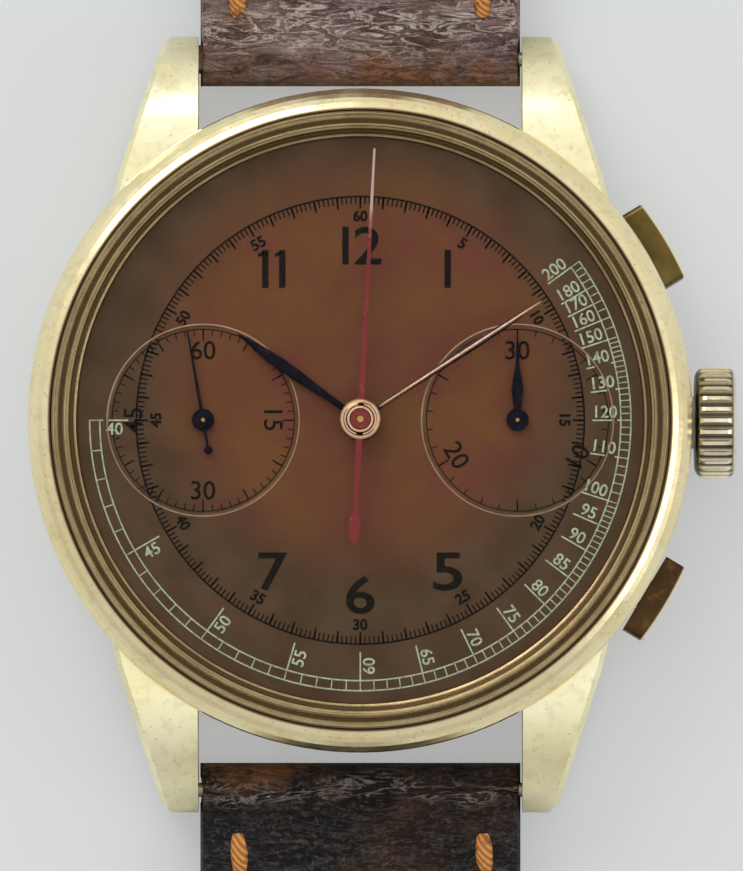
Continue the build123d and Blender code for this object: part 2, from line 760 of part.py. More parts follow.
def make_bridge_screws():
    """The slotted screws of the bridges and the cock."""
    screws = [(foot, BRIDGE_LOW) for foot in (*BARREL_BRIDGE_FEET, *TRAIN_BRIDGE_FEET)]
    screws.append((BALANCE_COCK_FOOT, BRIDGE_LOW - 0.1))
    with BuildPart() as group:
        for foot, face in screws:
            head = (face + 0.02, face + 0.24, 0.56)
            add(shaft(foot, head, (face + 0.2, PLATE_LOW + 0.5, SCREW_R - 0.02)))
            with Locations((*foot, face + 0.02)):
                Box(1.4, 0.14, 0.1, align=(Align.CENTER, Align.CENTER, Align.MIN), mode=Mode.SUBTRACT)
    return group


def make_pallet_bridge():
    """The small bridge under the balance that holds the pallet fork's lower pivot."""
    first, second = PALLET_BRIDGE_FEET
    with BuildPart() as body:
        with BuildSketch(Plane.XY.offset(PALLET_BRIDGE_LOW)):
            add(arm(first, 0.5, PALLET, 0.75))
            add(arm(second, 0.5, PALLET, 0.75))
        extrude(amount=PALLET_BRIDGE_HIGH - PALLET_BRIDGE_LOW)
        for foot in PALLET_BRIDGE_FEET:
            add(shaft(foot, (PALLET_BRIDGE_HIGH, PLATE_LOW, 0.45)))
        seat = drill(PALLET, PALLET_BRIDGE_LOW - 0.1, PALLET_BRIDGE_HIGH + 0.1, JEWEL_SEAT_R)
        add(seat, mode=Mode.SUBTRACT)
    return body


# ---------------------------------------------------------------- going train

BARREL_PHASE = 0.0
CENTRE_PINION_PHASE = meshed(BARREL, BARREL_TEETH, BARREL_PHASE, CENTRE, CENTRE_PINION)
CENTRE_PHASE = 0.0
THIRD_PINION_PHASE = meshed(CENTRE, CENTRE_TEETH, CENTRE_PHASE, THIRD, THIRD_PINION)
THIRD_PHASE = 0.0
FOURTH_PINION_PHASE = meshed(THIRD, THIRD_TEETH, THIRD_PHASE, SECONDS, FOURTH_PINION)
FOURTH_PHASE = 0.0
ESCAPE_PINION_PHASE = meshed(SECONDS, FOURTH_TEETH, FOURTH_PHASE, ESCAPE, ESCAPE_PINION)
CHRONO_WHEEL_Z = (RUNNER_LOW, RUNNER_HIGH)
DRIVING_PHASE = 0.0
COUPLING_PHASE = meshed(SECONDS, CHRONO_TEETH, DRIVING_PHASE, COUPLING, COUPLING_TEETH)
ENGAGED_PHASE = COUPLING_PHASE - radians(COUPLING_SWING)
RUNNER_PHASE = meshed(ENGAGED, COUPLING_TEETH, ENGAGED_PHASE, CENTRE, CHRONO_TEETH)


def ribbon_spiral(centre, low, high, inner_r, outer_r, turns, thickness):
    """A flat coiled spring of even pitch."""
    steps = 12 * turns
    inner, outer = [], []
    for step in range(steps + 1):
        radius = inner_r + (outer_r - inner_r) * step / steps
        angle = 360 * turns * step / steps
        inner.append(polar(radius - thickness / 2, angle, centre))
        outer.append(polar(radius + thickness / 2, angle, centre))
    with BuildPart() as coil:
        with BuildSketch(Plane.XY.offset(low)):
            with BuildLine():
                Spline(*inner)
                Line(inner[-1], outer[-1])
                Spline(*outer)
                Line(outer[0], inner[0])
            make_face()
        extrude(amount=high - low)
    return coil


def make_barrel():
    """The going barrel: a toothed drum closed by a cover."""
    drum_r = BARREL_MODULE * (BARREL_TEETH / 2 - 2)
    with BuildPart() as barrel:
        add(tube(BARREL, 3.4, 5.0, drum_r, 0.55))
        add(toothed_wheel(BARREL, 4.55, 5.0, BARREL_TEETH, BARREL_MODULE, BARREL_PHASE, bore=0.55))
        add(tube(BARREL, 3.55, 4.85, drum_r - 0.3, 0.55), mode=Mode.SUBTRACT)
    return barrel


def make_ratchet_wheel():
    """The barrel arbor with the ratchet wheel on its square."""
    phase = meshed(TRANSFER, TRANSFER_TEETH, TRANSFER_PHASE, BARREL, RATCHET_TEETH)
    with BuildPart() as wheel:
        add(toothed_wheel(BARREL, 2.42, 2.66, RATCHET_TEETH, WINDING_MODULE, phase))
        add(shaft(BARREL, (2.3, 3.6, 0.5), (3.6, 4.8, 0.9), (4.8, 5.6, 0.5)))
    return wheel


def make_centre_wheel():
    """The hollow centre arbor with its pinion and wheel."""
    with BuildPart() as wheel:
        add(tube(CENTRE, 2.62, 6.9, 0.4, 0.25))
        add(tube(CENTRE, 3.35, 3.6, 0.6, 0.25))
        add(toothed_wheel(CENTRE, 4.4, 5.0, CENTRE_PINION, BARREL_MODULE, CENTRE_PINION_PHASE, bore=0.25))
        add(toothed_wheel(CENTRE, 5.06, 5.24, CENTRE_TEETH, CENTRE_MODULE, CENTRE_PHASE, arms=5, bore=0.25))
        add(tube(CENTRE, 5.06, 5.24, 1.0, 0.25))
    return wheel


def make_third_wheel():
    """The third arbor with its pinion and wheel."""
    with BuildPart() as wheel:
        add(shaft(THIRD, (2.72, 3.1, PIVOT_R), (3.05, 5.6, 0.28), (5.6, 5.95, PIVOT_R)))
        add(toothed_wheel(THIRD, 4.95, 5.34, THIRD_PINION, CENTRE_MODULE, THIRD_PINION_PHASE))
        add(toothed_wheel(THIRD, 4.12, 4.28, THIRD_TEETH, THIRD_MODULE, THIRD_PHASE, arms=5))
        add(shaft(THIRD, (4.1, 4.3, 0.9)))
    return wheel


def make_fourth_wheel():
    """The fourth arbor: its wheel, pinion, long seconds pivot and the driving wheel outside the bridge."""
    with BuildPart() as wheel:
        add(shaft(SECONDS, (1.35, 2.2, 0.25), (2.2, 3.05, 0.2), (3.05, 5.85, 0.25), (5.85, 8.1, 0.1)))
        add(toothed_wheel(SECONDS, 3.95, 4.5, FOURTH_PINION, THIRD_MODULE, FOURTH_PINION_PHASE))
        add(toothed_wheel(SECONDS, 4.62, 4.78, FOURTH_TEETH, FOURTH_MODULE, FOURTH_PHASE, arms=5))
        add(toothed_wheel(SECONDS, *CHRONO_WHEEL_Z, CHRONO_TEETH, CHRONO_MODULE, DRIVING_PHASE, arms=5))
        add(shaft(SECONDS, (4.6, 4.8, 0.85), (1.88, 2.12, 0.85)))
    return wheel


def make_escape_wheel():
    """The escape arbor with its pinion and the fifteen-tooth escape wheel."""
    with BuildPart() as wheel:
        add(shaft(ESCAPE, (2.72, 3.1, PIVOT_R), (3.05, 5.6, 0.22), (5.6, 5.95, PIVOT_R)))
        add(toothed_wheel(ESCAPE, 4.56, 4.9, ESCAPE_PINION, FOURTH_MODULE, ESCAPE_PINION_PHASE))
        with BuildSketch(Plane((*ESCAPE, 4.34))):
            Circle(0.79 * ESCAPE_R)
            add(crossings(0.66 * ESCAPE_R, 0.45, 4, 0.2), mode=Mode.SUBTRACT)
            with PolarLocations(0, ESCAPE_TEETH):
                with BuildLine():
                    Polyline(
                        polar(0.74 * ESCAPE_R, -9),
                        polar(ESCAPE_R, 3),
                        polar(ESCAPE_R, 5),
                        polar(0.74 * ESCAPE_R, 2),
                        close=True,
                    )
                make_face()
        extrude(amount=0.16)
    return wheel


def make_pallet_fork():
    """The pallet fork: two stones towards the escape wheel and a forked end towards the balance."""
    toward_escape = degrees(atan2(ESCAPE[1] - PALLET[1], ESCAPE[0] - PALLET[0]))
    with BuildPart() as fork:
        with BuildSketch(Plane.XY.offset(4.34)):
            for side in (-1, 1):
                shoulder = polar(1.45, toward_escape + 84 * side, PALLET)
                stone = polar(1.5, toward_escape + 68 * side, PALLET)
                add(arm(PALLET, 0.3, shoulder, 0.16))
                add(arm(shoulder, 0.16, stone, 0.13))
            neck = polar(1.6, toward_escape + 180, PALLET)
            add(arm(PALLET, 0.3, neck, 0.13))
            for side in (-1, 1):
                add(arm(neck, 0.13, polar(2.0, toward_escape + 180 + 8 * side, PALLET), 0.07))
        extrude(amount=0.16)
        add(shaft(PALLET, (3.95, 4.2, 0.1), (4.19, 5.6, 0.2), (5.6, 5.95, 0.1)))
    return fork


def make_balance_wheel():
    """The balance: rim, two arms, poising screws, staff, roller and impulse pin."""
    rim_low, rim_high, rim_r = 3.36, 3.74, 4.05
    with BuildPart() as balance:
        with BuildSketch(Plane((*BALANCE, rim_low))):
            Circle(rim_r)
            Circle(rim_r - 0.4, mode=Mode.SUBTRACT)
        extrude(amount=rim_high - rim_low)
        with BuildSketch(Plane((*BALANCE, rim_low + 0.05))):
            Rectangle(2 * rim_r - 0.4, 0.5)
            Circle(0.7)
        extrude(amount=0.2)
        for screw in range(14):
            angle = 360 * (screw + 0.5) / 14
            head = Plane(
                origin=(*polar(rim_r - 0.1, angle, BALANCE), (rim_low + rim_high) / 2),
                z_dir=(cos(radians(angle)), sin(radians(angle)), 0),
            )
            with Locations(head):
                Cylinder(0.16, 0.32, align=(Align.CENTER, Align.CENTER, Align.MIN))
        add(shaft(BALANCE, (2.65, 2.95, 0.1), (2.93, 5.6, 0.22), (5.6, 5.95, 0.1), (4.26, 4.32, 0.75)))
        toward_fork = degrees(atan2(PALLET[1] - BALANCE[1], PALLET[0] - BALANCE[0]))
        add(shaft(polar(0.6, toward_fork, BALANCE), (4.3, 4.5, 0.06)))
    return balance


# ---------------------------------------------------------------- winding work

WINDING_PHASE = -pi / 2
TRANSFER_PHASE = meshed(CROWN_WHEEL, CROWN_WHEEL_TEETH, pi / CROWN_WHEEL_TEETH, TRANSFER, TRANSFER_TEETH)
WINDING_X = 13.25
SLIDING_X = 11.35
STEM_SQUARE = 0.56


def stem_plane(x):
    """Plane across the winding stem, its local x axis along the case's y axis."""
    return Plane(origin=(x, 0, STEM_Z), x_dir=(0, 1, 0), z_dir=(1, 0, 0))


def make_crown_wheel():
    """The crown wheel, turned by the winding pinion."""
    with BuildPart() as wheel:
        phase = pi / CROWN_WHEEL_TEETH
        add(toothed_wheel(CROWN_WHEEL, 2.42, 2.95, CROWN_WHEEL_TEETH, WINDING_MODULE, phase, bore=0.58))
    return wheel


def make_transfer_wheel():
    """The wheel between the crown wheel and the ratchet wheel."""
    with BuildPart() as wheel:
        add(toothed_wheel(TRANSFER, 2.42, 2.95, TRANSFER_TEETH, WINDING_MODULE, TRANSFER_PHASE, bore=0.53))
    return wheel


def make_click():
    """The click that holds the ratchet wheel against the mainspring."""
    nose = polar(WINDING_MODULE * (RATCHET_TEETH / 2 + 1.85), 106, BARREL)
    with BuildPart() as click:
        add(lever(2.4, 2.64, CLICK_PIVOT, STUD_R + FIT, (CLICK_PIVOT, 0.6, nose, 0.15)))
    return click


def make_winding_pinion():
    """The pinion on the stem's round that meshes with the crown wheel."""
    with BuildPart() as pinion:
        with BuildSketch(stem_plane(WINDING_X)):
            add(gear_profile(WINDING_TEETH, WINDING_MODULE, WINDING_PHASE))
            Circle(0.48, mode=Mode.SUBTRACT)
        extrude(amount=0.95)
    return pinion


def make_sliding_pinion():
    """The clutch pinion with its square bore and the groove for the yoke."""
    with BuildPart() as pinion:
        with BuildSketch(stem_plane(SLIDING_X)):
            add(gear_profile(WINDING_TEETH, 0.12))
        extrude(amount=1.75)
        with BuildSketch(stem_plane(SLIDING_X + 0.7)):
            Circle(1.2)
            Circle(0.65, mode=Mode.SUBTRACT)
        extrude(amount=0.4, mode=Mode.SUBTRACT)
        with BuildSketch(stem_plane(SLIDING_X)):
            Rectangle(STEM_SQUARE + 2 * FIT, STEM_SQUARE + 2 * FIT)
        extrude(amount=2, mode=Mode.SUBTRACT)
    return pinion


def make_winding_stem():
    """The stem: pilot, square, round under the winding pinion and the shank up to the crown."""
    with BuildPart() as stem:
        with BuildSketch(stem_plane(9.7)):
            Circle(0.25)
        extrude(amount=1.3)
        with BuildSketch(stem_plane(11.0)):
            Rectangle(STEM_SQUARE, STEM_SQUARE)
        extrude(amount=2.2)
        with BuildSketch(stem_plane(13.2)):
            Circle(0.45)
        extrude(amount=1.05)
        with BuildSketch(stem_plane(14.25)):
            Circle(0.6)
        extrude(amount=CROWN_SOCKET_END - 14.25)
    return stem


# ---------------------------------------------------------------- crown and pushers

CROWN_R = 3.1
CROWN_IN, CROWN_OUT = 18.55, 20.85
CROWN_SOCKET_END = 19.6
FLUTES = 30
CROWN_ROUND = 0.65
PUSHER_IN, PUSHER_OUT = 18.4, 19.8
PUSHER_LENGTH, PUSHER_HEIGHT = 4.7, 2.5
PUSHER_STEM_R = 0.8
SPRING_SEAT = 16.4


def make_crown():
    """The fluted crown, with a socket that runs over the case tube."""
    with BuildPart() as crown:
        with BuildSketch(stem_plane(CROWN_IN)):
            Circle(CROWN_R)
        extrude(amount=CROWN_OUT - CROWN_IN)
        rims = crown.edges().filter_by(GeomType.CIRCLE)
        fillet(rims, CROWN_ROUND)
        with BuildSketch(stem_plane(CROWN_IN - 0.1)):
            with PolarLocations(CROWN_R + 0.02, FLUTES):
                Circle(0.22)
        extrude(amount=CROWN_OUT - CROWN_IN + 0.2, mode=Mode.SUBTRACT)
        with BuildSketch(stem_plane(CROWN_OUT)):
            Circle(CROWN_R - 0.9)
            Circle(CROWN_R - 1.1, mode=Mode.SUBTRACT)
        extrude(amount=-0.12, mode=Mode.SUBTRACT)
        with BuildSketch(stem_plane(CROWN_IN)):
            Circle(TUBE_HOLE_R + 0.1)
        extrude(amount=CROWN_SOCKET_END - CROWN_IN, mode=Mode.SUBTRACT)
    return crown


def make_case_tubes():
    """The crown tube and the two pusher tubes, counterbored for the pusher springs."""
    with BuildPart() as tubes:
        add(side_tube(0, 15.0, 19.0, 0.66))
        for angle in PUSHERS.values():
            add(side_tube(angle, 15.1, 17.75, PUSHER_STEM_R + 0.05))
            with BuildSketch(radial_plane(angle, SPRING_SEAT)):
                Circle(1.25)
            extrude(amount=2, mode=Mode.SUBTRACT)
    return tubes


def make_pusher(angle):
    """A rectangular pusher: a cap curved like the case and its stem."""
    cap_plane = radial_plane(angle, PUSHER_IN)
    with BuildPart() as pusher:
        with BuildSketch(cap_plane):
            RectangleRounded(PUSHER_LENGTH, PUSHER_HEIGHT, 0.3)
        extrude(amount=PUSHER_OUT - PUSHER_IN)
        with BuildSketch(Plane.XY):
            Circle(PUSHER_OUT)
        extrude(amount=9, mode=Mode.INTERSECT)
        outer = pusher.edges().filter_by(
            lambda e: abs(hypot(e.center().X, e.center().Y) - PUSHER_OUT) < 0.15
        )
        chamfer(outer, 0.14)
        with BuildSketch(radial_plane(angle, PUSHER_TIP_R)):
            Circle(PUSHER_STEM_R)
        extrude(amount=PUSHER_IN - PUSHER_TIP_R + 0.1)
    return pusher


def make_pusher_spring(angle):
    """The coil spring under a pusher's cap."""
    wire, turns = 0.11, 4.5
    length = PUSHER_IN - SPRING_SEAT - 2 * wire - 0.04
    start = radial_plane(angle, SPRING_SEAT + wire + 0.02)
    with BuildPart() as spring:
        with BuildLine() as path:
            Helix(length / turns, length, 1.04, center=start.origin, direction=start.z_dir)
        with BuildSketch(Plane(origin=path.line @ 0, z_dir=path.line % 0)):
            Circle(wire)
        sweep(is_frenet=True)
    return spring


# ---------------------------------------------------------------- chronograph work


def heart(centre, low, high):
    """A heart cam for the return to zero."""
    with BuildPart() as cam:
        with BuildSketch(Plane((*centre, low))):
            with BuildLine():
                right = [polar(0.3 + 0.75 * abs(turn) / 180, turn - 90) for turn in range(0, 181, 30)]
                left = [(-x, y) for x, y in reversed(right)]
                Spline(*right)
                Spline(*left)
            make_face()
        extrude(amount=high - low)
    return cam.part


def make_chronograph_runner():
    """The chronograph wheel, its heart cam and the long arbor that carries the sweep hand."""
    with BuildPart() as runner:
        add(toothed_wheel(CENTRE, *CHRONO_WHEEL_Z, CHRONO_TEETH, CHRONO_MODULE, RUNNER_PHASE, arms=5))
        add(heart(CENTRE, LEVER_LOW, LEVER_HIGH))
        add(shaft(CENTRE, (0.98, 1.3, 0.12), (1.3, 2.35, 0.32), (2.3, 9.4, 0.18)))
        add(shaft(CENTRE, (RUNNER_LOW - 0.02, RUNNER_HIGH + 0.02, 0.85)))
    return runner


def make_minute_runner():
    """The minute register's wheel, heart cam and arbor."""
    with BuildPart() as runner:
        add(toothed_wheel(REGISTER, *CHRONO_WHEEL_Z, 30, 0.14, 0.0, arms=4))
        add(heart(REGISTER, LEVER_LOW, LEVER_HIGH))
        add(shaft(REGISTER, (0.98, 1.3, 0.12), (1.3, 2.35, 0.3), (2.3, 5.85, 0.2), (5.85, 8.1, 0.1)))
        add(shaft(REGISTER, (RUNNER_LOW - 0.02, RUNNER_HIGH + 0.02, 0.6)))
    return runner


COUPLING_TAIL = (-4.6, 8.4)


def make_coupling_lever():
    """The lever that swings the coupling wheel into the chronograph wheel."""
    with BuildPart() as plate:
        add(
            lever(
                LEVER_LOW,
                LEVER_HIGH,
                SECONDS,
                0.3,
                (SECONDS, 0.8, COUPLING, 0.6),
                (COUPLING, 0.6, COUPLING_TAIL, 0.35),
                (COUPLING_TAIL, 0.35, polar(1.4, 195, COLUMN_WHEEL), 0.2),
            )
        )
        add(drill(COUPLING, 1.3, 1.8, 0.23), mode=Mode.SUBTRACT)
    return plate


def make_coupling_wheel():
    """The small wheel that joins the driving wheel to the chronograph wheel."""
    with BuildPart() as wheel:
        add(toothed_wheel(COUPLING, *CHRONO_WHEEL_Z, COUPLING_TEETH, CHRONO_MODULE, COUPLING_PHASE))
        add(shaft(COUPLING, (1.35, 2.2, 0.2)))
    return wheel


def make_column_wheel():
    """The column wheel: a ratchet with six upright columns."""
    with BuildPart() as wheel:
        with BuildSketch(Plane((*COLUMN_WHEEL, 1.7))):
            Circle(0.95)
            with PolarLocations(0, 12):
                with BuildLine():
                    Polyline(polar(0.9, 0), polar(1.25, 3), polar(0.9, 24), close=True)
                make_face()
            Circle(STUD_R + FIT, mode=Mode.SUBTRACT)
        extrude(amount=0.25)
        with BuildSketch(Plane((*COLUMN_WHEEL, 1.95))):
            Circle(1.0)
            Circle(0.6, mode=Mode.SUBTRACT)
            with PolarLocations(0.8, 6, 15):
                Rectangle(0.6, 0.42, mode=Mode.SUBTRACT)
        extrude(amount=0.4)
    return wheel


def make_operating_lever():
    """The lever that the start pusher turns to advance the column wheel."""
    end = polar(13.6, PUSHER_ANGLE)
    with BuildPart() as plate:
        hook = polar(1.75, 240, COLUMN_WHEEL)
        arms = ((OPERATING_PIVOT, 0.7, hook, 0.45), (hook, 0.45, end, 0.4))
        add(lever(OPERATING_LOW, OPERATING_HIGH, OPERATING_PIVOT, STUD_R + FIT, *arms))
        add(shaft(end, (OPERATING_LOW, STEM_Z + 0.4, 0.4)))
    return plate


def make_hammer():
    """The double hammer that the reset pusher drives onto the two heart cams."""
    end = polar(13.6, -PUSHER_ANGLE)
    faces = (polar(1.85, 30), polar(1.85, -10, REGISTER))
    with BuildPart() as plate:
        arms = [(HAMMER_PIVOT, 0.8, face, 0.3) for face in faces]
        arms.append((HAMMER_PIVOT, 0.75, end, 0.42))
        add(lever(LEVER_LOW, LEVER_HIGH, HAMMER_PIVOT, STUD_R + FIT, *arms))
        add(shaft(end, (LEVER_LOW, STEM_Z + 0.4, 0.4)))
    return plate


# ---------------------------------------------------------------- strap and buckle

STRAP_HOLE_PITCH = 6.5
FIRST_STRAP_HOLE = 78.0
STRAP_HOLES = 7
TONGUE_WIDTH = 1.7
FRAME_END = BUCKLE_BAR_Y + 9.6


def strap_outline(profile, plan):
    """A strap half from its side outline and its plan outline, both on the +y side."""
    with BuildPart() as half:
        extrude(profile, amount=STRAP_WIDTH, both=True)
        extrude(plan, amount=9, mode=Mode.INTERSECT)
    return half


def make_strap_buckle_half():
    """The padded half at 12 o'clock, looped round the spring bar and round the buckle bar."""
    loop_top = STRAP_BAR_Z + STRAP_LOOP_R
    with BuildSketch(Plane.YZ) as profile:
        with BuildLine():
            ThreePointArc(
                (STRAP_BAR_Y, STRAP_BAR_Z - STRAP_LOOP_R),
                (STRAP_BAR_Y - STRAP_LOOP_R, STRAP_BAR_Z),
                (STRAP_BAR_Y, loop_top),
            )
            Spline(
                (STRAP_BAR_Y, loop_top),
                (32, 4.35),
                (48, 3.75),
                (62, 3.1),
                (BUCKLE_BAR_Y - 4, 3.0),
                (BUCKLE_BAR_Y, BUCKLE_BAR_Z + 1.3),
                tangents=((1, 0.12), (1, 0)),
            )
            ThreePointArc(
                (BUCKLE_BAR_Y, BUCKLE_BAR_Z + 1.3),
                (BUCKLE_BAR_Y + 1.3, BUCKLE_BAR_Z),
                (BUCKLE_BAR_Y, BUCKLE_BAR_Z - 1.3),
            )
            Line((BUCKLE_BAR_Y, BUCKLE_BAR_Z - 1.3), (BUCKLE_BAR_Y - 4, STRAP_RISE))
            Line((BUCKLE_BAR_Y - 4, STRAP_RISE), (STRAP_BAR_Y, STRAP_BAR_Z - STRAP_LOOP_R))
        make_face()
    with BuildSketch() as plan:
        with BuildLine():
            Polyline(
                (STRAP_WIDTH / 2, 15),
                (STRAP_WIDTH / 2, 30),
                (STRAP_END_WIDTH / 2, 74),
                (STRAP_END_WIDTH / 2, 100),
                (-STRAP_END_WIDTH / 2, 100),
                (-STRAP_END_WIDTH / 2, 74),
                (-STRAP_WIDTH / 2, 30),
                (-STRAP_WIDTH / 2, 15),
                close=True,
            )
        make_face()
    half = strap_outline(profile.sketch, plan.sketch)
    with half:
        with Locations((0, BUCKLE_BAR_Y - 1.9, 0)):
            Box(TONGUE_WIDTH + 0.6, 6, 6, align=(Align.CENTER, Align.MIN, Align.MIN), mode=Mode.SUBTRACT)
        for y, z, radius in ((STRAP_BAR_Y, STRAP_BAR_Z, 0.8), (BUCKLE_BAR_Y, BUCKLE_BAR_Z, 0.65)):
            with Locations(Plane((-10, y, z), z_dir=(1, 0, 0))):
                Cylinder(radius, 20, align=(Align.CENTER, Align.CENTER, Align.MIN), mode=Mode.SUBTRACT)
    return half


def make_strap_hole_half():
    """The long half at 6 o'clock, with its row of holes and its pointed end."""
    loop_top = STRAP_BAR_Z + STRAP_LOOP_R
    with BuildSketch(Plane.YZ) as profile:
        with BuildLine():
            ThreePointArc(
                (STRAP_BAR_Y, STRAP_BAR_Z - STRAP_LOOP_R),
                (STRAP_BAR_Y - STRAP_LOOP_R, STRAP_BAR_Z),
                (STRAP_BAR_Y, loop_top),
            )
            Spline(
                (STRAP_BAR_Y, loop_top),
                (32, 4.1),
                (46, 2.95),
                (58, 2.2),
                (LONG_STRAP_END, 1.9),
                tangents=((1, 0.1), (1, 0)),
            )
            Polyline((LONG_STRAP_END, 1.9), (LONG_STRAP_END, 0), (34, 0))
            under = ((34, 0), (28, 0.3), (STRAP_BAR_Y, STRAP_BAR_Z - STRAP_LOOP_R))
            Spline(*under, tangents=((-1, 0), (-1, 0.1)))
        make_face()
    with BuildSketch() as plan:
        with BuildLine():
            Polyline(
                (-STRAP_END_WIDTH / 2, LONG_STRAP_END - 9),
                (-STRAP_END_WIDTH / 2, 74),
                (-STRAP_WIDTH / 2, 30),
                (-STRAP_WIDTH / 2, 15),
                (STRAP_WIDTH / 2, 15),
                (STRAP_WIDTH / 2, 30),
                (STRAP_END_WIDTH / 2, 74),
                (STRAP_END_WIDTH / 2, LONG_STRAP_END - 9),
            )
            Spline(
                (STRAP_END_WIDTH / 2, LONG_STRAP_END - 9),
                (STRAP_END_WIDTH / 2 - 2.6, LONG_STRAP_END - 3),
                (0, LONG_STRAP_END),
                (-STRAP_END_WIDTH / 2 + 2.6, LONG_STRAP_END - 3),
                (-STRAP_END_WIDTH / 2, LONG_STRAP_END - 9),
                tangents=((0, 1), (0, -1)),
            )
        make_face()
    half = strap_outline(profile.sketch, plan.sketch)
    with half:
        with Locations(Plane((-10, STRAP_BAR_Y, STRAP_BAR_Z), z_dir=(1, 0, 0))):
            Cylinder(0.8, 20, align=(Align.CENTER, Align.CENTER, Align.MIN), mode=Mode.SUBTRACT)
        row = [(0, FIRST_STRAP_HOLE + STRAP_HOLE_PITCH * hole, 0) for hole in range(STRAP_HOLES)]
        with Locations(*row):
            Cylinder(1.0, 9, align=(Align.CENTER, Align.CENTER, Align.MIN), mode=Mode.SUBTRACT)
    with BuildPart() as turned:
        add(half.part.rotate(Axis.Z, 180))
    return turned


def make_keeper(y):
    """A leather loop with room inside for both halves of the strap."""
    low, high, band = 0.08, 6.1, 0.82
    inner = STRAP_END_WIDTH + 0.5
    with BuildPart() as keeper:
        with BuildSketch(Plane(origin=(0, y, (low + high) / 2), x_dir=(1, 0, 0), z_dir=(0, -1, 0))):
            RectangleRounded(inner + 2 * band, high - low, 0.9)
            RectangleRounded(inner, high - low - 2 * band, 0.12, mode=Mode.SUBTRACT)
        extrude(amount=2.2, both=True)
        fillet(keeper.edges().filter_by(Axis.X), 0.15)
    return keeper


def make_spring_bars():
    """The two sprung bars between the lugs."""
    with BuildPart() as bars:
        for side in (-1, 1):
            for length, radius in ((LUG_GAP - 0.5, 0.74), (LUG_GAP + 1.6, 0.4)):
                with Locations(Plane((-length / 2, side * STRAP_BAR_Y, STRAP_BAR_Z), z_dir=(1, 0, 0))):
                    Cylinder(radius, length, align=(Align.CENTER, Align.CENTER, Align.MIN))
    return bars


def make_buckle_bar():
    """The sprung bar that holds the buckle in the strap."""
    with BuildPart() as bar:
        for length, radius in ((STRAP_END_WIDTH + 0.2, 0.6), (STRAP_END_WIDTH + 2.2, 0.4)):
            with Locations(Plane((-length / 2, BUCKLE_BAR_Y, BUCKLE_BAR_Z), z_dir=(1, 0, 0))):
                Cylinder(radius, length, align=(Align.CENTER, Align.CENTER, Align.MIN))
    return bar


def make_buckle_frame():
    """The square gilt frame of the buckle, with an eye in each side for the bar."""
    outer, inner = STRAP_END_WIDTH + 4.2, STRAP_END_WIDTH + 0.6
    start = BUCKLE_BAR_Y - 1.2
    with BuildPart() as frame:
        with BuildSketch(Plane.XY.offset(BUCKLE_BAR_Z - 0.9)):
            with Locations((0, start)):
                Rectangle(outer, FRAME_END - start, align=(Align.CENTER, Align.MIN))
                window = FRAME_END - start - 2.2
                Rectangle(inner, window, align=(Align.CENTER, Align.MIN), mode=Mode.SUBTRACT)
        extrude(amount=1.8)
        fillet(frame.edges().filter_by(Axis.Z).sort_by(Axis.Y)[-2:], 2.4)
        top = frame.faces().sort_by(Axis.Z)[-1]
        fillet(top.edges(), 0.5)
        with Locations(Plane((-outer / 2, BUCKLE_BAR_Y, BUCKLE_BAR_Z), z_dir=(1, 0, 0))):
            Cylinder(0.45, outer, align=(Align.CENTER, Align.CENTER, Align.MIN), mode=Mode.SUBTRACT)
        with Locations((0, FRAME_END - 2.4, BUCKLE_BAR_Z + 0.65)):
            Box(TONGUE_WIDTH + 0.3, 3, 1, align=(Align.CENTER, Align.MIN, Align.MIN), mode=Mode.SUBTRACT)
    return frame


def make_buckle_tongue():
    """The tongue: an eye round the bar and a blade that rests in the frame's notch."""
    eye_r, blade = 1.05, 0.7
    rest = BUCKLE_BAR_Z + 0.67
    with BuildPart() as tongue:
        with BuildSketch(Plane.YZ):
            with Locations((BUCKLE_BAR_Y, BUCKLE_BAR_Z)):
                Circle(eye_r)
            with BuildLine():
                back = (BUCKLE_BAR_Y - 0.3, BUCKLE_BAR_Z + 1)
                front = (BUCKLE_BAR_Y + 0.6, BUCKLE_BAR_Z + 0.4)
                Spline(back, (BUCKLE_BAR_Y + 3, rest + 0.95), (FRAME_END, rest + blade))
                Line((FRAME_END, rest + blade), (FRAME_END, rest))
                Spline((FRAME_END, rest), (BUCKLE_BAR_Y + 3, rest + 0.25), front)
                Line(front, back)
            make_face()
            with Locations((BUCKLE_BAR_Y, BUCKLE_BAR_Z)):
                Circle(0.63, mode=Mode.SUBTRACT)
        extrude(amount=TONGUE_WIDTH / 2, both=True)
    return tongue


# ---------------------------------------------------------------- writing the pieces

os.makedirs("parts", exist_ok=True)

write(make_case_band(), "case_band")
write(make_bezel(), "bezel")
write(make_crystal(), "crystal")
write(make_tension_ring(), "tension_ring")
write(make_case_back(), "case_back")
write(make_movement_ring(), "movement_ring")
write(make_case_tubes(), "case_tubes")
write(make_spring_bars(), "spring_bars")
write(make_crown(), "crown")
write(make_winding_stem(), "winding_stem")
for purpose, side_angle in PUSHERS.items():
    write(make_pusher(side_angle), f"pusher_{purpose}")
    write(make_pusher_spring(side_angle), f"pusher_spring_{purpose}")

write(make_dial(), "dial")
write(leaf_hand(HOUR_HAND_ANGLE, HOUR_HAND_LOW, 8.3, 0.66, 1.15, 0.87), "hour_hand")
write(leaf_hand(MINUTE_HAND_ANGLE, MINUTE_HAND_LOW, 12.0, 0.62, 0.95, 0.57), "minute_hand")
write(make_chronograph_hand(), "chronograph_hand")
write(make_small_seconds_hand(), "small_seconds_hand")
write(make_register_hand(), "register_hand")
write(make_cannon_pinion(), "cannon_pinion")
write(make_minute_wheel(), "minute_wheel")
write(make_hour_wheel(), "hour_wheel")

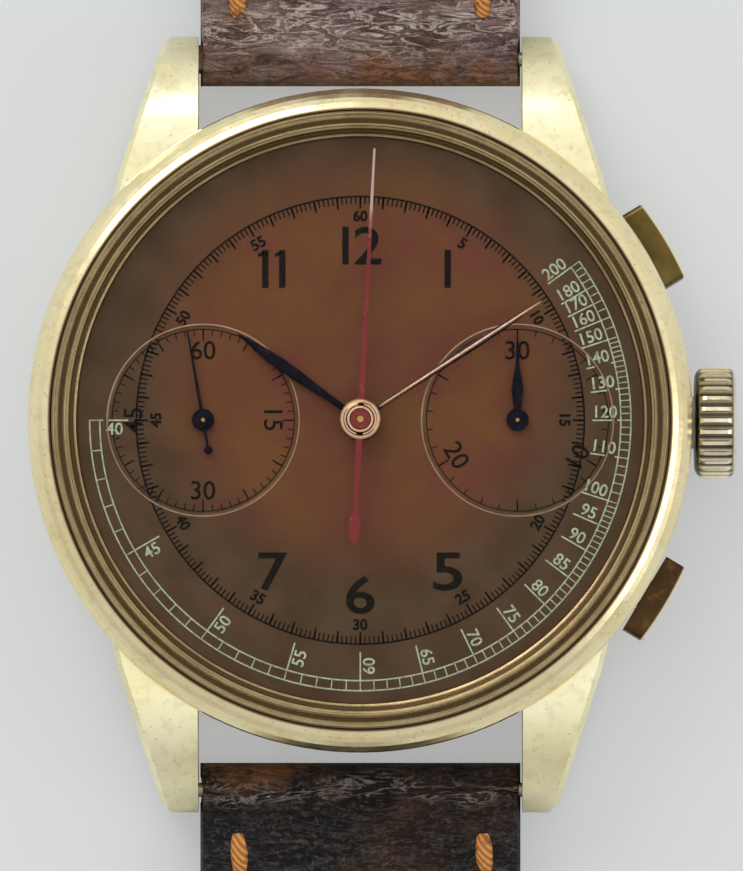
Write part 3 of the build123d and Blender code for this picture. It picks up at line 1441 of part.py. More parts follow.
write(make_main_plate(), "main_plate")
write(make_barrel_bridge(), "barrel_bridge")
write(make_train_bridge(), "train_bridge")
write(make_balance_cock(), "balance_cock")
write(make_pallet_bridge(), "pallet_bridge")
write(make_chronograph_bridge(), "chronograph_bridge")
write(make_jewels(), "jewels")
write(make_bridge_screws(), "bridge_screws")

write(make_barrel(), "barrel")
write(ribbon_spiral(BARREL, 3.6, 4.5, 1.15, 4.4, 9, 0.12), "mainspring")
write(make_ratchet_wheel(), "ratchet_wheel")
write(make_centre_wheel(), "centre_wheel")
write(make_third_wheel(), "third_wheel")
write(make_fourth_wheel(), "fourth_wheel")
write(make_escape_wheel(), "escape_wheel")
write(make_pallet_fork(), "pallet_fork")
write(make_balance_wheel(), "balance_wheel")
write(ribbon_spiral(BALANCE, 3.06, 3.22, 0.5, 2.3, 11, 0.05), "hairspring")

write(make_crown_wheel(), "crown_wheel")
write(make_transfer_wheel(), "transfer_wheel")
write(make_click(), "click")
write(make_winding_pinion(), "winding_pinion")
write(make_sliding_pinion(), "sliding_pinion")

write(make_chronograph_runner(), "chronograph_runner")
write(make_minute_runner(), "minute_runner")
write(make_coupling_lever(), "coupling_lever")
write(make_coupling_wheel(), "coupling_wheel")
write(make_column_wheel(), "column_wheel")
write(make_operating_lever(), "operating_lever")
write(make_hammer(), "hammer")

write(make_strap_buckle_half(), "strap_buckle_half")
write(make_strap_hole_half(), "strap_hole_half")
write(make_keeper(BUCKLE_BAR_Y - 10), "fixed_keeper")
write(make_keeper(BUCKLE_BAR_Y - 22), "free_keeper")
write(make_buckle_bar(), "buckle_bar")
write(make_buckle_frame(), "buckle_frame")
write(make_buckle_tongue(), "buckle_tongue")
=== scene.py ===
import json
from math import atan2, cos, hypot, pi, radians, sin, sqrt, tau

import bpy
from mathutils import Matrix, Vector, noise


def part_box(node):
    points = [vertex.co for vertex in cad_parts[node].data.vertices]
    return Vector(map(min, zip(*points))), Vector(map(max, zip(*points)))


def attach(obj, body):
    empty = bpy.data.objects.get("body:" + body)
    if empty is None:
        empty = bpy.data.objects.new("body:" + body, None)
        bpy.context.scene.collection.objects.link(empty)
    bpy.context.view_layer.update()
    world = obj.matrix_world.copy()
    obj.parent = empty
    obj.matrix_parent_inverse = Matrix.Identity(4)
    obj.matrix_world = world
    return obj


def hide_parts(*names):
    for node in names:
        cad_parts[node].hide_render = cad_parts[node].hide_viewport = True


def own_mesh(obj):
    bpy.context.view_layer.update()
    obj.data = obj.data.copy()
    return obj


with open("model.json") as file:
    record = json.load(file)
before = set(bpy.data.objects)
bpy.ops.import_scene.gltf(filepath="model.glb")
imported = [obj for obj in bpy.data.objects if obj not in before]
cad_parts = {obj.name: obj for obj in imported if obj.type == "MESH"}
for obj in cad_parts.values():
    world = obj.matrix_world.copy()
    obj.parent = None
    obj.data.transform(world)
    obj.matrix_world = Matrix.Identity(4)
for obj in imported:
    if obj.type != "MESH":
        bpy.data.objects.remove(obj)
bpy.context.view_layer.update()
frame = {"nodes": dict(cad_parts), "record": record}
nodes = frame["nodes"]

MM = 0.001

# ------------------------------------------------------------------ places read from the frame


def middle(node):
    """Centre of a node's box."""
    low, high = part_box(node)
    return (low + high) / 2


def top_of(node):
    """Height of a node's highest point."""
    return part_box(node)[1].z


def reach_of(node):
    """Half the width of a node's box."""
    low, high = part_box(node)
    return (high.x - low.x) / 2


DIAL_FACE = top_of("dial")
BEZEL_TOP = top_of("bezel")
CRYSTAL_R = reach_of("crystal")
REGISTER_X = middle("fourth_wheel").x
STEM_Z = middle("crown").z
CROWN_R = (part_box("crown")[1].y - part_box("crown")[0].y) / 2
CROWN_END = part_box("crown")[1].x
PUSHER_END = 19.8 * MM
HOUR_ANGLE = radians(145)
MINUTE_ANGLE = radians(33)
FIRST_RIDGE_R = 16.15 * MM
RIDGE_PITCH = 0.6 * MM
BAR_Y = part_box("spring_bars")[1].y - 0.74 * MM
BAR_Z = middle("spring_bars").z
END_OF_LEATHER = BAR_Y - 1.5 * MM
SUBDIAL_R = 5.2 * MM
SUBDIAL_FACE = DIAL_FACE - 0.1 * MM
SUBDIALS = (Vector((-abs(REGISTER_X), 0, SUBDIAL_FACE)), Vector((abs(REGISTER_X), 0, SUBDIAL_FACE)))

# ------------------------------------------------------------------ materials


def srgb(red, green, blue):
    """A colour from 0-255 values, as the linear colour a shader takes."""
    linear = []
    for value in (red, green, blue):
        share = value / 255
        linear.append(share / 12.92 if share <= 0.04045 else ((share + 0.055) / 1.055) ** 2.4)
    return (*linear, 1.0)


HAIRLINE = 0.01 * MM


class Nodes:
    """A node tree under construction: adds nodes and joins their sockets."""

    def __init__(self, tree):
        self.tree = tree

    def add(self, kind, **settings):
        """A new node with its settings."""
        node = self.tree.nodes.new(kind)
        for key, value in settings.items():
            setattr(node, key, value)
        return node

    def join(self, source, target):
        self.tree.links.new(source, target)

    def spread(self, source, low, high, to_low=0.0, to_high=1.0):
        """Remaps a value range, clamped."""
        node = self.add("ShaderNodeMapRange")
        node.inputs["From Min"].default_value = low
        node.inputs["From Max"].default_value = high
        node.inputs["To Min"].default_value = to_low
        node.inputs["To Max"].default_value = to_high
        self.join(source, node.inputs["Value"])
        return node.outputs["Result"]

    def math(self, operation, first, second=None):
        """Arithmetic on sockets or numbers."""
        node = self.add("ShaderNodeMath", operation=operation)
        for socket, value in zip(node.inputs, (first, second)):
            if value is None:
                continue
            if isinstance(value, (int, float)):
                socket.default_value = value
            else:
                self.join(value, socket)
        return node.outputs[0]

    def blend(self, share, first, second, mode="MIX"):
        """Mixes two colours by a share, which is a socket or a number."""
        node = self.add("ShaderNodeMix", data_type="RGBA", blend_type=mode)
        sockets = (node.inputs[0], node.inputs[6], node.inputs[7])
        for socket, value in zip(sockets, (share, first, second)):
            if isinstance(value, (int, float, tuple)):
                socket.default_value = value
            else:
                self.join(value, socket)
        return node.outputs[2]

    def split(self, source, axis):
        """One coordinate of a place."""
        node = self.add("ShaderNodeSeparateXYZ")
        self.join(source, node.inputs["Vector"])
        return node.outputs[axis]

    def layered(self, share, under, over, output="Material Output"):
        """Ends the tree in two shaders, mixed by a share."""
        both = self.add("ShaderNodeMixShader")
        self.join(share, both.inputs["Fac"])
        self.join(under, both.inputs[1])
        self.join(over, both.inputs[2])
        self.join(both.outputs["Shader"], self.tree.nodes[output].inputs["Surface"])


class Finish(Nodes):
    """A material under construction."""

    def __init__(self, name, **shader):
        self.material = bpy.data.materials.new(name)
        self.material.use_nodes = True
        super().__init__(self.material.node_tree)
        self.shader = self.tree.nodes["Principled BSDF"]
        for socket, value in shader.items():
            self.shader.inputs[socket.replace("_", " ")].default_value = value
        self.place = self.add("ShaderNodeTexCoord").outputs["Object"]

    def mapped(self, scale=(1, 1, 1), turn=0.0):
        """Object coordinates, turned about z and scaled."""
        node = self.add("ShaderNodeMapping")
        node.inputs["Rotation"].default_value = (0, 0, turn)
        node.inputs["Scale"].default_value = scale
        self.join(self.place, node.inputs["Vector"])
        return node.outputs["Vector"]

    def noise(self, scale, detail=4.0, roughness=0.55, where=None, distortion=0.0):
        node = self.add("ShaderNodeTexNoise")
        node.inputs["Scale"].default_value = scale
        node.inputs["Detail"].default_value = detail
        node.inputs["Roughness"].default_value = roughness
        node.inputs["Distortion"].default_value = distortion
        self.join(where or self.place, node.inputs["Vector"])
        return node.outputs["Fac"]

    def cells(self, scale, feature="F1", where=None):
        """Distance from the nearest cell's middle, or from its edge."""
        node = self.add("ShaderNodeTexVoronoi", feature=feature)
        node.inputs["Scale"].default_value = scale
        self.join(where or self.place, node.inputs["Vector"])
        return node.outputs["Distance"]

    def bands(self, scale, kind, direction, distortion):
        """Straight stripes or rings."""
        node = self.add("ShaderNodeTexWave", wave_type=kind)
        if kind == "BANDS":
            node.bands_direction = direction
        else:
            node.rings_direction = direction
        node.inputs["Scale"].default_value = scale
        node.inputs["Distortion"].default_value = distortion
        self.join(self.place, node.inputs["Vector"])
        return node.outputs["Fac"]

    def uneven(self, scale, detail, low, high):
        """A value that wanders between low and high over the surface."""
        return self.spread(self.noise(scale, detail), 0.3, 0.7, low, high)

    def bump(self, height, strength, distance, under=None):
        """Relief from a height, over another relief if there is one."""
        node = self.add("ShaderNodeBump")
        node.inputs["Strength"].default_value = strength
        node.inputs["Distance"].default_value = distance
        self.join(height, node.inputs["Height"])
        if under:
            self.join(under, node.inputs["Normal"])
        return node.outputs["Normal"]

    def out_from_axis(self, turn=(0, 0, 0), shift=(0, 0, 0)):
        """Distance from the watch's upright axis, once the place is moved by shift and turned."""
        moved = self.add("ShaderNodeMapping")
        moved.inputs["Location"].default_value = shift
        self.join(self.place, moved.inputs["Vector"])
        flat = self.add("ShaderNodeMapping")
        flat.inputs["Rotation"].default_value = turn
        self.join(moved.outputs["Vector"], flat.inputs["Vector"])
        level = self.add("ShaderNodeMapping")
        level.inputs["Scale"].default_value = (1, 1, 0)
        self.join(flat.outputs["Vector"], level.inputs["Vector"])
        length = self.add("ShaderNodeVectorMath", operation="LENGTH")
        self.join(level.outputs["Vector"], length.inputs[0])
        return length.outputs["Value"]

    def finish(self, colour=None, roughness=None, normal=None):
        """Ends the material in its one shader."""
        if colour is not None:
            self.join(colour, self.shader.inputs["Base Color"])
        if roughness is not None:
            self.join(roughness, self.shader.inputs["Roughness"])
        if normal is not None:
            self.join(normal, self.shader.inputs["Normal"])
        return self.material


def gold_grain(made, light, dark, tarnish):
    """Colour of old gold plate: cloudy tarnish with small dark pits."""
    clouds = made.spread(made.noise(260, 5, 0.6), 0.35, 0.68)
    specks = made.spread(made.cells(1900), 0.05, 0.16, 1.0, 0.0)
    rubbed = made.math("MULTIPLY", made.spread(made.noise(1500, 3), 0.52, 0.66), tarnish)
    colour = made.blend(clouds, light, dark)
    colour = made.blend(rubbed, colour, srgb(120, 88, 46))
    return made.blend(made.math("MULTIPLY", specks, 0.35), colour, srgb(84, 62, 34))


def gold_surface(made, colour, smooth, rough):
    """Polish of old gold plate: hairline scratches both ways over a faint ripple."""
    lines = made.noise(1400, 2, where=made.mapped(scale=(1, 14, 1), turn=radians(32)))
    cross = made.noise(1800, 2, where=made.mapped(scale=(16, 1, 1), turn=radians(-14)))
    scratches = made.math("ADD", made.spread(lines, 0.6, 0.72), made.spread(cross, 0.62, 0.74))
    roughness = made.uneven(700, 4, smooth, rough)
    normal = made.bump(scratches, 0.12, HAIRLINE)
    normal = made.bump(made.noise(5200, 3), 0.08, HAIRLINE, under=normal)
    return made.finish(colour, roughness, normal)


def worn_gold(name, light, dark, smooth=0.16, rough=0.34, tarnish=0.5):
    """Old polished gold plate."""
    made = Finish(name, Metallic=1.0)
    return gold_surface(made, gold_grain(made, light, dark, tarnish), smooth, rough)


def grooved_tone(made):
    """Colour of the turned ridges round the crystal: a painted highlight on each ridge and painted
    shade in each groove between them.
    """
    past_first = made.math("SUBTRACT", made.out_from_axis(), FIRST_RIDGE_R)
    ridge = made.math("MULTIPLY", past_first, tau / RIDGE_PITCH)
    # painted light: the wave is bright on each ridge (painted highlight) and dark brown in each groove
    # (painted shade)
    rubbed = made.spread(made.math("SINE", ridge), -0.5, 0.7)
    bright = gold_grain(made, srgb(184, 164, 128), srgb(158, 138, 102), 0.2)
    return made.blend(rubbed, srgb(84, 64, 42), bright)


def grooved_gold(name, light, dark, groove_end, smooth, rough):
    """Gold plate with painted shade in its grooves and a painted highlight on its ridges beside the
    crystal, out to groove_end.
    """
    made = Finish(name, Metallic=1.0)
    plate = gold_grain(made, light, dark, 0.12)
    outside = made.spread(made.out_from_axis(), groove_end, groove_end + 0.12 * MM)
    return gold_surface(made, made.blend(outside, grooved_tone(made), plate), smooth, rough)


def ring_gold(name):
    """The tension ring's plate: a painted highlight on its ridges and painted shade in its grooves."""
    made = Finish(name, Metallic=1.0)
    return gold_surface(made, grooved_tone(made), 0.24, 0.4)


def part_blued(name, angle):
    """A blued hand with a painted highlight along the middle of its ridge."""
    made = Finish(name, Metallic=0.9, Roughness=0.22)
    along_hand = made.mapped(turn=-angle)
    off_ridge = made.math("ABSOLUTE", made.split(along_hand, "Y"))
    ridge = made.spread(off_ridge, 0.05 * MM, 0.1 * MM, 1.0, 0.0)
    past_boss = made.spread(made.split(along_hand, "X"), 1.2 * MM, 1.5 * MM)
    blue = made.blend(made.spread(made.noise(1500, 3), 0.35, 0.7), srgb(14, 14, 26), srgb(40, 28, 46))
    # pale tone of the painted highlight along the ridge
    bright = made.blend(made.noise(1800, 3), srgb(172, 138, 112), srgb(118, 88, 70))
    colour = made.blend(made.math("MULTIPLY", ridge, past_boss), blue, bright)
    return made.finish(colour, made.uneven(2800, 3, 0.16, 0.34))


def ribbed_gold(name):
    """The crown's plate: bright gold on its ribs, with painted shade in the grooves between them."""
    made = Finish(name, Metallic=1.0)
    out = made.out_from_axis(turn=(0, radians(90), 0), shift=(0, 0, -STEM_Z))
    off_groove_shade = made.spread(out, CROWN_R - 0.2 * MM, CROWN_R - 0.03 * MM)
    bright = gold_grain(made, srgb(250, 240, 214), srgb(214, 200, 160), 0.15)
    # painted shade: near-black brown in the grooves between the ribs
    colour = made.blend(off_groove_shade, srgb(46, 38, 28), bright)
    end = made.split(made.place, "X")
    face = made.spread(end, CROWN_END - 0.22 * MM, CROWN_END - 0.12 * MM)
    return gold_surface(made, made.blend(face, colour, bright), 0.14, 0.26)


def worn_pusher(name, middle_tone, patches):
    """A pusher's plate: tarnished on its sides in the given dark tones, with a painted highlight round
    its outer rim.
    """
    made = Finish(name, Metallic=1.0)
    body = gold_grain(made, middle_tone, patches, 0.55)
    # painted highlight: a pale band round the outer rim
    edge = made.spread(made.out_from_axis(), PUSHER_END - 0.16 * MM, PUSHER_END - 0.06 * MM)
    colour = made.blend(edge, body, srgb(244, 234, 196))
    return gold_surface(made, colour, 0.24, 0.42)


def steel(name, colour=srgb(168, 166, 160), rough=0.3):
    """Finely brushed steel."""
    made = Finish(name, Metallic=1.0)
    lines = made.noise(2600, 3, where=made.mapped(scale=(1, 18, 1)))
    shaded = (*(0.72 * part for part in colour[:3]), 1.0)
    tone = made.blend(made.spread(lines, 0.3, 0.7), colour, shaded)
    roughness = made.uneven(900, 3, rough - 0.08, rough + 0.1)
    return made.finish(tone, roughness, made.bump(lines, 0.1, HAIRLINE))


def brass_wheel(name):
    """Gilt brass with a fine circular grain."""
    made = Finish(name, Metallic=1.0)
    grain = made.bands(900, "RINGS", "Z", 3.0)
    cloudy = made.spread(made.noise(700, 3), 0.35, 0.65)
    tone = made.blend(cloudy, srgb(206, 168, 92), srgb(170, 128, 62))
    roughness = made.spread(grain, 0.0, 1.0, 0.22, 0.36)
    return made.finish(tone, roughness, made.bump(grain, 0.1, HAIRLINE))


def striped_nickel(name):
    """Nickel plate with broad polished stripes."""
    made = Finish(name, Metallic=1.0)
    stripes = made.bands(220, "BANDS", "DIAGONAL", 0.0)
    fine = made.noise(4200, 2, where=made.mapped(scale=(1, 10, 1), turn=radians(45)))
    tone = made.blend(made.spread(stripes, 0.2, 0.8), srgb(198, 190, 172), srgb(164, 156, 140))
    roughness = made.spread(stripes, 0.0, 1.0, 0.2, 0.36)
    return made.finish(tone, roughness, made.bump(made.math("ADD", stripes, fine), 0.15, 2 * HAIRLINE))


def blued_steel(name):
    """Heat-blued polished steel."""
    made = Finish(name, Metallic=0.85)
    tone = made.blend(made.spread(made.noise(1500, 3), 0.35, 0.7), srgb(8, 9, 20), srgb(28, 22, 40))
    roughness = made.uneven(2800, 3, 0.16, 0.34)
    return made.finish(tone, roughness, made.bump(made.noise(9000, 2), 0.05, HAIRLINE / 2))


def ruby(name):
    """Synthetic ruby."""
    made = Finish(name, Metallic=0.0, IOR=1.76)
    tone = made.blend(made.noise(2200, 2), srgb(150, 16, 44), srgb(196, 40, 72))
    return made.finish(tone, made.uneven(3000, 2, 0.05, 0.12))


def copper_dial(name):
    """A brown-copper dial: greener and darker outside, redder within, with patches and specks."""
    made = Finish(name, Metallic=0.35, Specular_IOR_Level=0.15)
    ragged = made.math("MULTIPLY", made.noise(220, 3), 2 * MM)
    out = made.math("ADD", made.out_from_axis(shift=(0, -3 * MM, 0)), ragged)
    patches = made.spread(made.noise(330, 5, 0.62), 0.36, 0.66)
    inner = made.blend(patches, srgb(104, 58, 47), srgb(108, 72, 42))
    outer = made.blend(made.spread(made.noise(420, 4), 0.35, 0.65), srgb(86, 66, 50), srgb(75, 56, 40))
    colour = made.blend(made.spread(out, 9.5 * MM, 13.5 * MM), inner, outer)
    rust = made.spread(made.noise(900, 5, 0.7), 0.6, 0.72)
    colour = made.blend(made.math("MULTIPLY", rust, 0.35), colour, srgb(104, 48, 42))
    specks = made.spread(made.cells(2600), 0.04, 0.12, 1.0, 0.0)
    hidden = made.spread(made.noise(600, 2), 0.5, 0.62)
    colour = made.blend(made.math("MULTIPLY", specks, hidden), colour, srgb(58, 38, 30))
    roughness = made.uneven(1300, 4, 0.34, 0.5)
    return made.finish(colour, roughness, made.bump(made.noise(8000, 4), 0.12, HAIRLINE))


def printed_ink(name, colour, faded):
    """Printed ink with a slightly broken edge of wear."""
    made = Finish(name, Metallic=0.0, Specular_IOR_Level=0.12)
    tone = made.blend(made.spread(made.noise(5200, 3), 0.45, 0.65), colour, faded)
    return made.finish(tone, made.uneven(7000, 2, 0.45, 0.65))


def red_lacquer(name):
    """Thin red lacquer on a polished hand, worn pale in patches, with a painted highlight towards the
    tip.
    """
    made = Finish(name, Metallic=0.2)
    worn = made.spread(made.noise(1600, 4, 0.7), 0.6, 0.7)
    tone = made.blend(made.noise(900, 3), srgb(104, 18, 24), srgb(128, 30, 34))
    tone = made.blend(made.math("MULTIPLY", worn, 0.4), tone, srgb(196, 150, 136))
    # painted highlight: pale pink towards the tip
    ragged = made.math("MULTIPLY", made.noise(2500, 3), 1.6 * MM)
    height = made.math("ADD", made.split(made.place, "Y"), ragged)
    tip_highlight = made.spread(height, 11.2 * MM, 12.8 * MM)
    tone = made.blend(made.math("MULTIPLY", tip_highlight, 0.6), tone, srgb(222, 196, 194))
    return made.finish(tone, made.uneven(4000, 2, 0.25, 0.42))


def clear_crystal(name):
    """Clear domed acrylic: almost nothing but its outer face's reflections and a few hairlines."""
    made = Finish(name)
    made.tree.nodes.remove(made.shader)
    across = made.mapped(scale=(1, 30, 1), turn=radians(40))
    hairlines = made.spread(made.noise(900, 2, 0.5, where=across), 0.68, 0.8)
    clear = made.add("ShaderNodeBsdfTransparent")
    clear.inputs["Color"].default_value = (0.97, 0.97, 0.95, 1)
    gloss = made.add("ShaderNodeBsdfGlossy")
    gloss.inputs["Roughness"].default_value = 0.06
    made.join(made.bump(hairlines, 0.06, HAIRLINE), gloss.inputs["Normal"])
    edge = made.add("ShaderNodeFresnel")
    edge.inputs["IOR"].default_value = 1.09
    outer_face = made.math("SUBTRACT", 1.0, made.add("ShaderNodeNewGeometry").outputs["Backfacing"])
    share = made.math("MULTIPLY", edge.outputs["Fac"], outer_face)
    made.layered(share, clear.outputs["BSDF"], gloss.outputs["BSDF"])
    return made.material


def aged_leather(name, dark, light, plum_tone, rub_middle, crease_middle, crease_wide, wrinkle_highlight_tone):
    """Old leather: mottled, pebbled, rubbed orange brown by its bar, with painted highlights and
    painted shade along its wrinkles, strongest across a crease, and painted shade in the pebbles'
    valleys.
    """
    made = Finish(name, Metallic=0.0, Specular_IOR_Level=0.22)
    away = made.math("ABSOLUTE", made.split(made.place, "Y"))
    sideways = made.split(made.place, "X")
    flat = made.mapped(scale=(1, 2.4, 1))

    body = made.blend(made.spread(made.noise(420, 5, 0.62, where=flat), 0.36, 0.64), dark, light)
    plum = made.spread(made.noise(210, 3, where=flat), 0.48, 0.66)
    body = made.blend(made.math("MULTIPLY", plum, 0.5), body, plum_tone)

    worn = made.blend(made.noise(1300, 3), srgb(142, 84, 40), srgb(104, 62, 40))
    ragged_away = made.math("ADD", away, made.math("MULTIPLY", made.noise(300, 4), 3 * MM))
    near_end = made.spread(ragged_away, END_OF_LEATHER + 2.4 * MM, END_OF_LEATHER + 3.9 * MM, 1.0, 0.0)
    off_middle = made.math("ABSOLUTE", made.math("SUBTRACT", sideways, rub_middle))
    ragged_off = made.math("ADD", off_middle, made.math("MULTIPLY", made.noise(260, 4), 6 * MM))
    rubbed = made.math("MULTIPLY", near_end, made.spread(ragged_off, 6 * MM, 10.5 * MM, 1.0, 0.0))
    rubbed = made.math("MULTIPLY", rubbed, made.spread(made.noise(640, 4, 0.65), 0.4, 0.6))
    colour = made.blend(made.math("MULTIPLY", rubbed, 0.9), body, worn)
    scattered = made.spread(made.noise(130, 4, 0.6), 0.56, 0.7)
    colour = made.blend(made.math("MULTIPLY", scattered, 0.14), colour, worn)

    # painted light along the wrinkles: pale painted highlight lines and dark painted shade lines, the
    # highlights strongest across the crease
    wrinkle = made.noise(760, 6, 0.62, where=made.mapped(scale=(0.5, 1.9, 1)), distortion=1.6)
    off_pale = made.math("ABSOLUTE", made.math("SUBTRACT", wrinkle, 0.52))
    wrinkle_highlight = made.spread(off_pale, 0.0, 0.045, 1.0, 0.0)
    off_dark = made.math("ABSOLUTE", made.math("SUBTRACT", wrinkle, 0.43))
    wrinkle_shade = made.spread(off_dark, 0.0, 0.035, 1.0, 0.0)
    wander = made.math("MULTIPLY", made.math("SUBTRACT", made.noise(240, 4), 0.5), 4 * MM)
    past_crease = made.math("SUBTRACT", made.math("ADD", away, wander), crease_middle)
    off_crease = made.math("ABSOLUTE", past_crease)
    in_crease = made.spread(off_crease, 0.25 * crease_wide, crease_wide, 1.0, 0.0)
    strength = made.math("ADD", made.math("MULTIPLY", in_crease, 0.68), 0.12)
    colour = made.blend(made.math("MULTIPLY", wrinkle_highlight, strength), colour, wrinkle_highlight_tone)
    colour = made.blend(made.math("MULTIPLY", wrinkle_shade, 0.6), colour, srgb(18, 11, 11))

    # painted shade in the valleys between the pebbles
    pebbles = made.cells(2700, "DISTANCE_TO_EDGE", where=made.mapped(scale=(1, 1.25, 1)))
    pebble_shade = made.spread(pebbles, 0.0, 0.07, 1.0, 0.0)
    colour = made.blend(made.math("MULTIPLY", pebble_shade, 0.3), colour, srgb(20, 12, 12))
    # small pale flecks in the highlight tone: painted highlight on the grain
    fine = made.spread(made.noise(3000, 4, 0.75), 0.54, 0.68)
    colour = made.blend(made.math("MULTIPLY", fine, 0.2), colour, wrinkle_highlight_tone)

    roughness = made.uneven(1100, 3, 0.4, 0.62)
    normal = made.bump(pebbles, 0.6, 0.1 * MM)
    normal = made.bump(wrinkle, 0.9, 0.6 * MM, under=normal)
    return made.finish(colour, roughness, normal)


def waxed_thread(name):
    """Twisted tan linen thread, frayed and dirty in places."""
    made = Finish(name, Metallic=0.0)
    twist = made.bands(1500, "BANDS", "DIAGONAL", 1.4)
    tone = made.blend(made.spread(twist, 0.1, 0.9), srgb(146, 86, 34), srgb(204, 140, 64))
    tone = made.blend(made.spread(made.noise(1700, 4, 0.7), 0.52, 0.68), tone, srgb(84, 52, 28))
    roughness = made.uneven(3000, 2, 0.6, 0.8)
    return made.finish(tone, roughness, made.bump(twist, 0.5, 0.05 * MM))


PALE_GILT = srgb(255, 249, 212)
DULL_GILT = srgb(249, 238, 186)
CASE_GOLD = worn_gold("case_gold", PALE_GILT, DULL_GILT, 0.16, 0.34, 0.14)
BAND_GOLD = grooved_gold("band_gold", PALE_GILT, DULL_GILT, CRYSTAL_R + 0.1 * MM, 0.16, 0.34)
BEZEL_GOLD = grooved_gold(
    "bezel_gold", srgb(252, 240, 196), srgb(244, 226, 176), CRYSTAL_R + 0.32 * MM, 0.14, 0.3
)
RING_GOLD = ring_gold("ring_gold")
CROWN_GOLD = ribbed_gold("crown_gold_groove_shade")
# the start pusher's dark olive side tone is painted shade; the reset pusher's side tone is a darker
# brown
START_GOLD_RIM_HIGHLIGHT = worn_pusher("start_pusher_gold_rim_highlight", srgb(114, 98, 52), srgb(76, 60, 30))
RESET_GOLD_RIM_HIGHLIGHT = worn_pusher("reset_pusher_gold_rim_highlight", srgb(82, 60, 38), srgb(50, 36, 26))
HUB_GOLD = worn_gold("hub_gold", srgb(236, 204, 176), srgb(206, 164, 138), 0.14, 0.26, 0.3)
BRUSHED = steel("brushed_steel")
WHEEL_BRASS = brass_wheel("wheel_brass")
BRIDGE_NICKEL = striped_nickel("bridge_nickel")
HAND_BLUE = blued_steel("hand_blue")
MINUTE_BLUE_PAINTED_HIGHLIGHT = part_blued("minute_hand_blue_painted_highlight", MINUTE_ANGLE)
RUBY = ruby("ruby")
DIAL_COPPER = copper_dial("dial_copper")
RIM_COPPER = worn_gold("rim_copper", srgb(176, 148, 124), srgb(140, 110, 90), 0.28, 0.42, 0.2)
BLACK_INK = printed_ink("black_ink", srgb(10, 8, 7), srgb(28, 20, 17))
PALE_INK = printed_ink("pale_ink", srgb(176, 188, 164), srgb(140, 150, 126))
RED_TIP_HIGHLIGHT = red_lacquer("red_lacquer")
CRYSTAL = clear_crystal("clear_crystal")
# lit copy of the leather: the buckle half and keepers are painted lighter for the light falling on them
LIT_LEATHER = aged_leather(
    "aged_leather",
    dark=srgb(76, 52, 42),
    light=srgb(138, 114, 106),
    plum_tone=srgb(104, 78, 88),
    rub_middle=2.5 * MM,
    crease_middle=END_OF_LEATHER + 3.2 * MM,
    crease_wide=1.7 * MM,
    wrinkle_highlight_tone=srgb(204, 192, 182),
)
# shaded copy of the same leather: the hole half is painted much darker for the shade it lies in
SHADED_LEATHER = aged_leather(
    "shaded_aged_leather",
    dark=srgb(5, 5, 5),
    light=srgb(20, 19, 20),
    plum_tone=srgb(34, 15, 22),
    rub_middle=-8.5 * MM,
    crease_middle=END_OF_LEATHER + 1.6 * MM,
    crease_wide=0.75 * MM,
    wrinkle_highlight_tone=srgb(150, 140, 136),
)
THREAD = waxed_thread("waxed_thread")

SLOT_FINISH = {
    "gilt_case": CASE_GOLD,
    "steel": BRUSHED,
    "brass": WHEEL_BRASS,
    "crystal": CRYSTAL,
    "copper_dial": DIAL_COPPER,
    "blued_steel": HAND_BLUE,
    "red_hand": RED_TIP_HIGHLIGHT,
    "nickel_plate": BRIDGE_NICKEL,
    "ruby": RUBY,
    "leather": LIT_LEATHER,
}


def paint(piece, material):
    """Gives a piece one material."""
    piece.data.materials.clear()
    piece.data.materials.append(material)


for part in frame["record"]["subparts"]:
    paint(nodes[part["node"]], SLOT_FINISH[part["material_slot"]])
OWN_FINISH = {
    "case_band": BAND_GOLD,
    "bezel": BEZEL_GOLD,
    "tension_ring": RING_GOLD,
    "crown": CROWN_GOLD,
    "pusher_start": START_GOLD_RIM_HIGHLIGHT,
    "pusher_reset": RESET_GOLD_RIM_HIGHLIGHT,
}
for node, own in OWN_FINISH.items():
    paint(nodes[node], own)

# ------------------------------------------------------------------ ways of working


def deselect():
    """Leaves nothing selected, in object mode."""
    if bpy.context.object and bpy.context.object.mode != "OBJECT":
        bpy.ops.object.mode_set(mode="OBJECT")
    bpy.ops.object.select_all(action="DESELECT")


def take_up(piece):
    """Selects one piece alone and makes it the active one."""
    deselect()
    piece.select_set(True)
    bpy.context.view_layer.objects.active = piece


def edit_all():
    """Opens the active piece for editing with everything selected."""
    bpy.ops.object.mode_set(mode="EDIT")
    bpy.ops.mesh.select_all(action="SELECT")


def closed():
    """Joins seams of the piece that is being edited and points its faces outwards."""
    bpy.ops.mesh.select_all(action="SELECT")
    bpy.ops.mesh.remove_doubles(threshold=1e-6)
    bpy.ops.mesh.normals_make_consistent(inside=False)
    bpy.ops.object.mode_set(mode="OBJECT")


def placed():
    """Puts the active piece's place, turn and size into its mesh."""
    bpy.ops.object.transform_apply(location=True, rotation=True, scale=True)


def joined(pieces):
    """Joins several meshes into one."""
    deselect()
    for piece in pieces:
        piece.select_set(True)
    bpy.context.view_layer.objects.active = pieces[0]
    if len(pieces) > 1:
        bpy.ops.object.join()
    return bpy.context.object


def settled(piece, name, body, material, sharp=35):
    """Names a finished piece, gives it its finish and lets it ride on its body."""
    take_up(piece)
    placed()
    piece.name = name
    piece.data.name = name
    paint(piece, material)
    bpy.ops.object.shade_smooth_by_angle(angle=radians(sharp))
    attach(piece, body)
    deselect()
    return piece


def block(place, size, turn=0.0):
    """A box of a given size, turned about its own middle."""
    deselect()
    bpy.ops.mesh.primitive_cube_add(size=1, location=place)
    piece = bpy.context.object
    piece.scale = size
    piece.rotation_euler = (0, 0, turn)
    placed()
    return piece


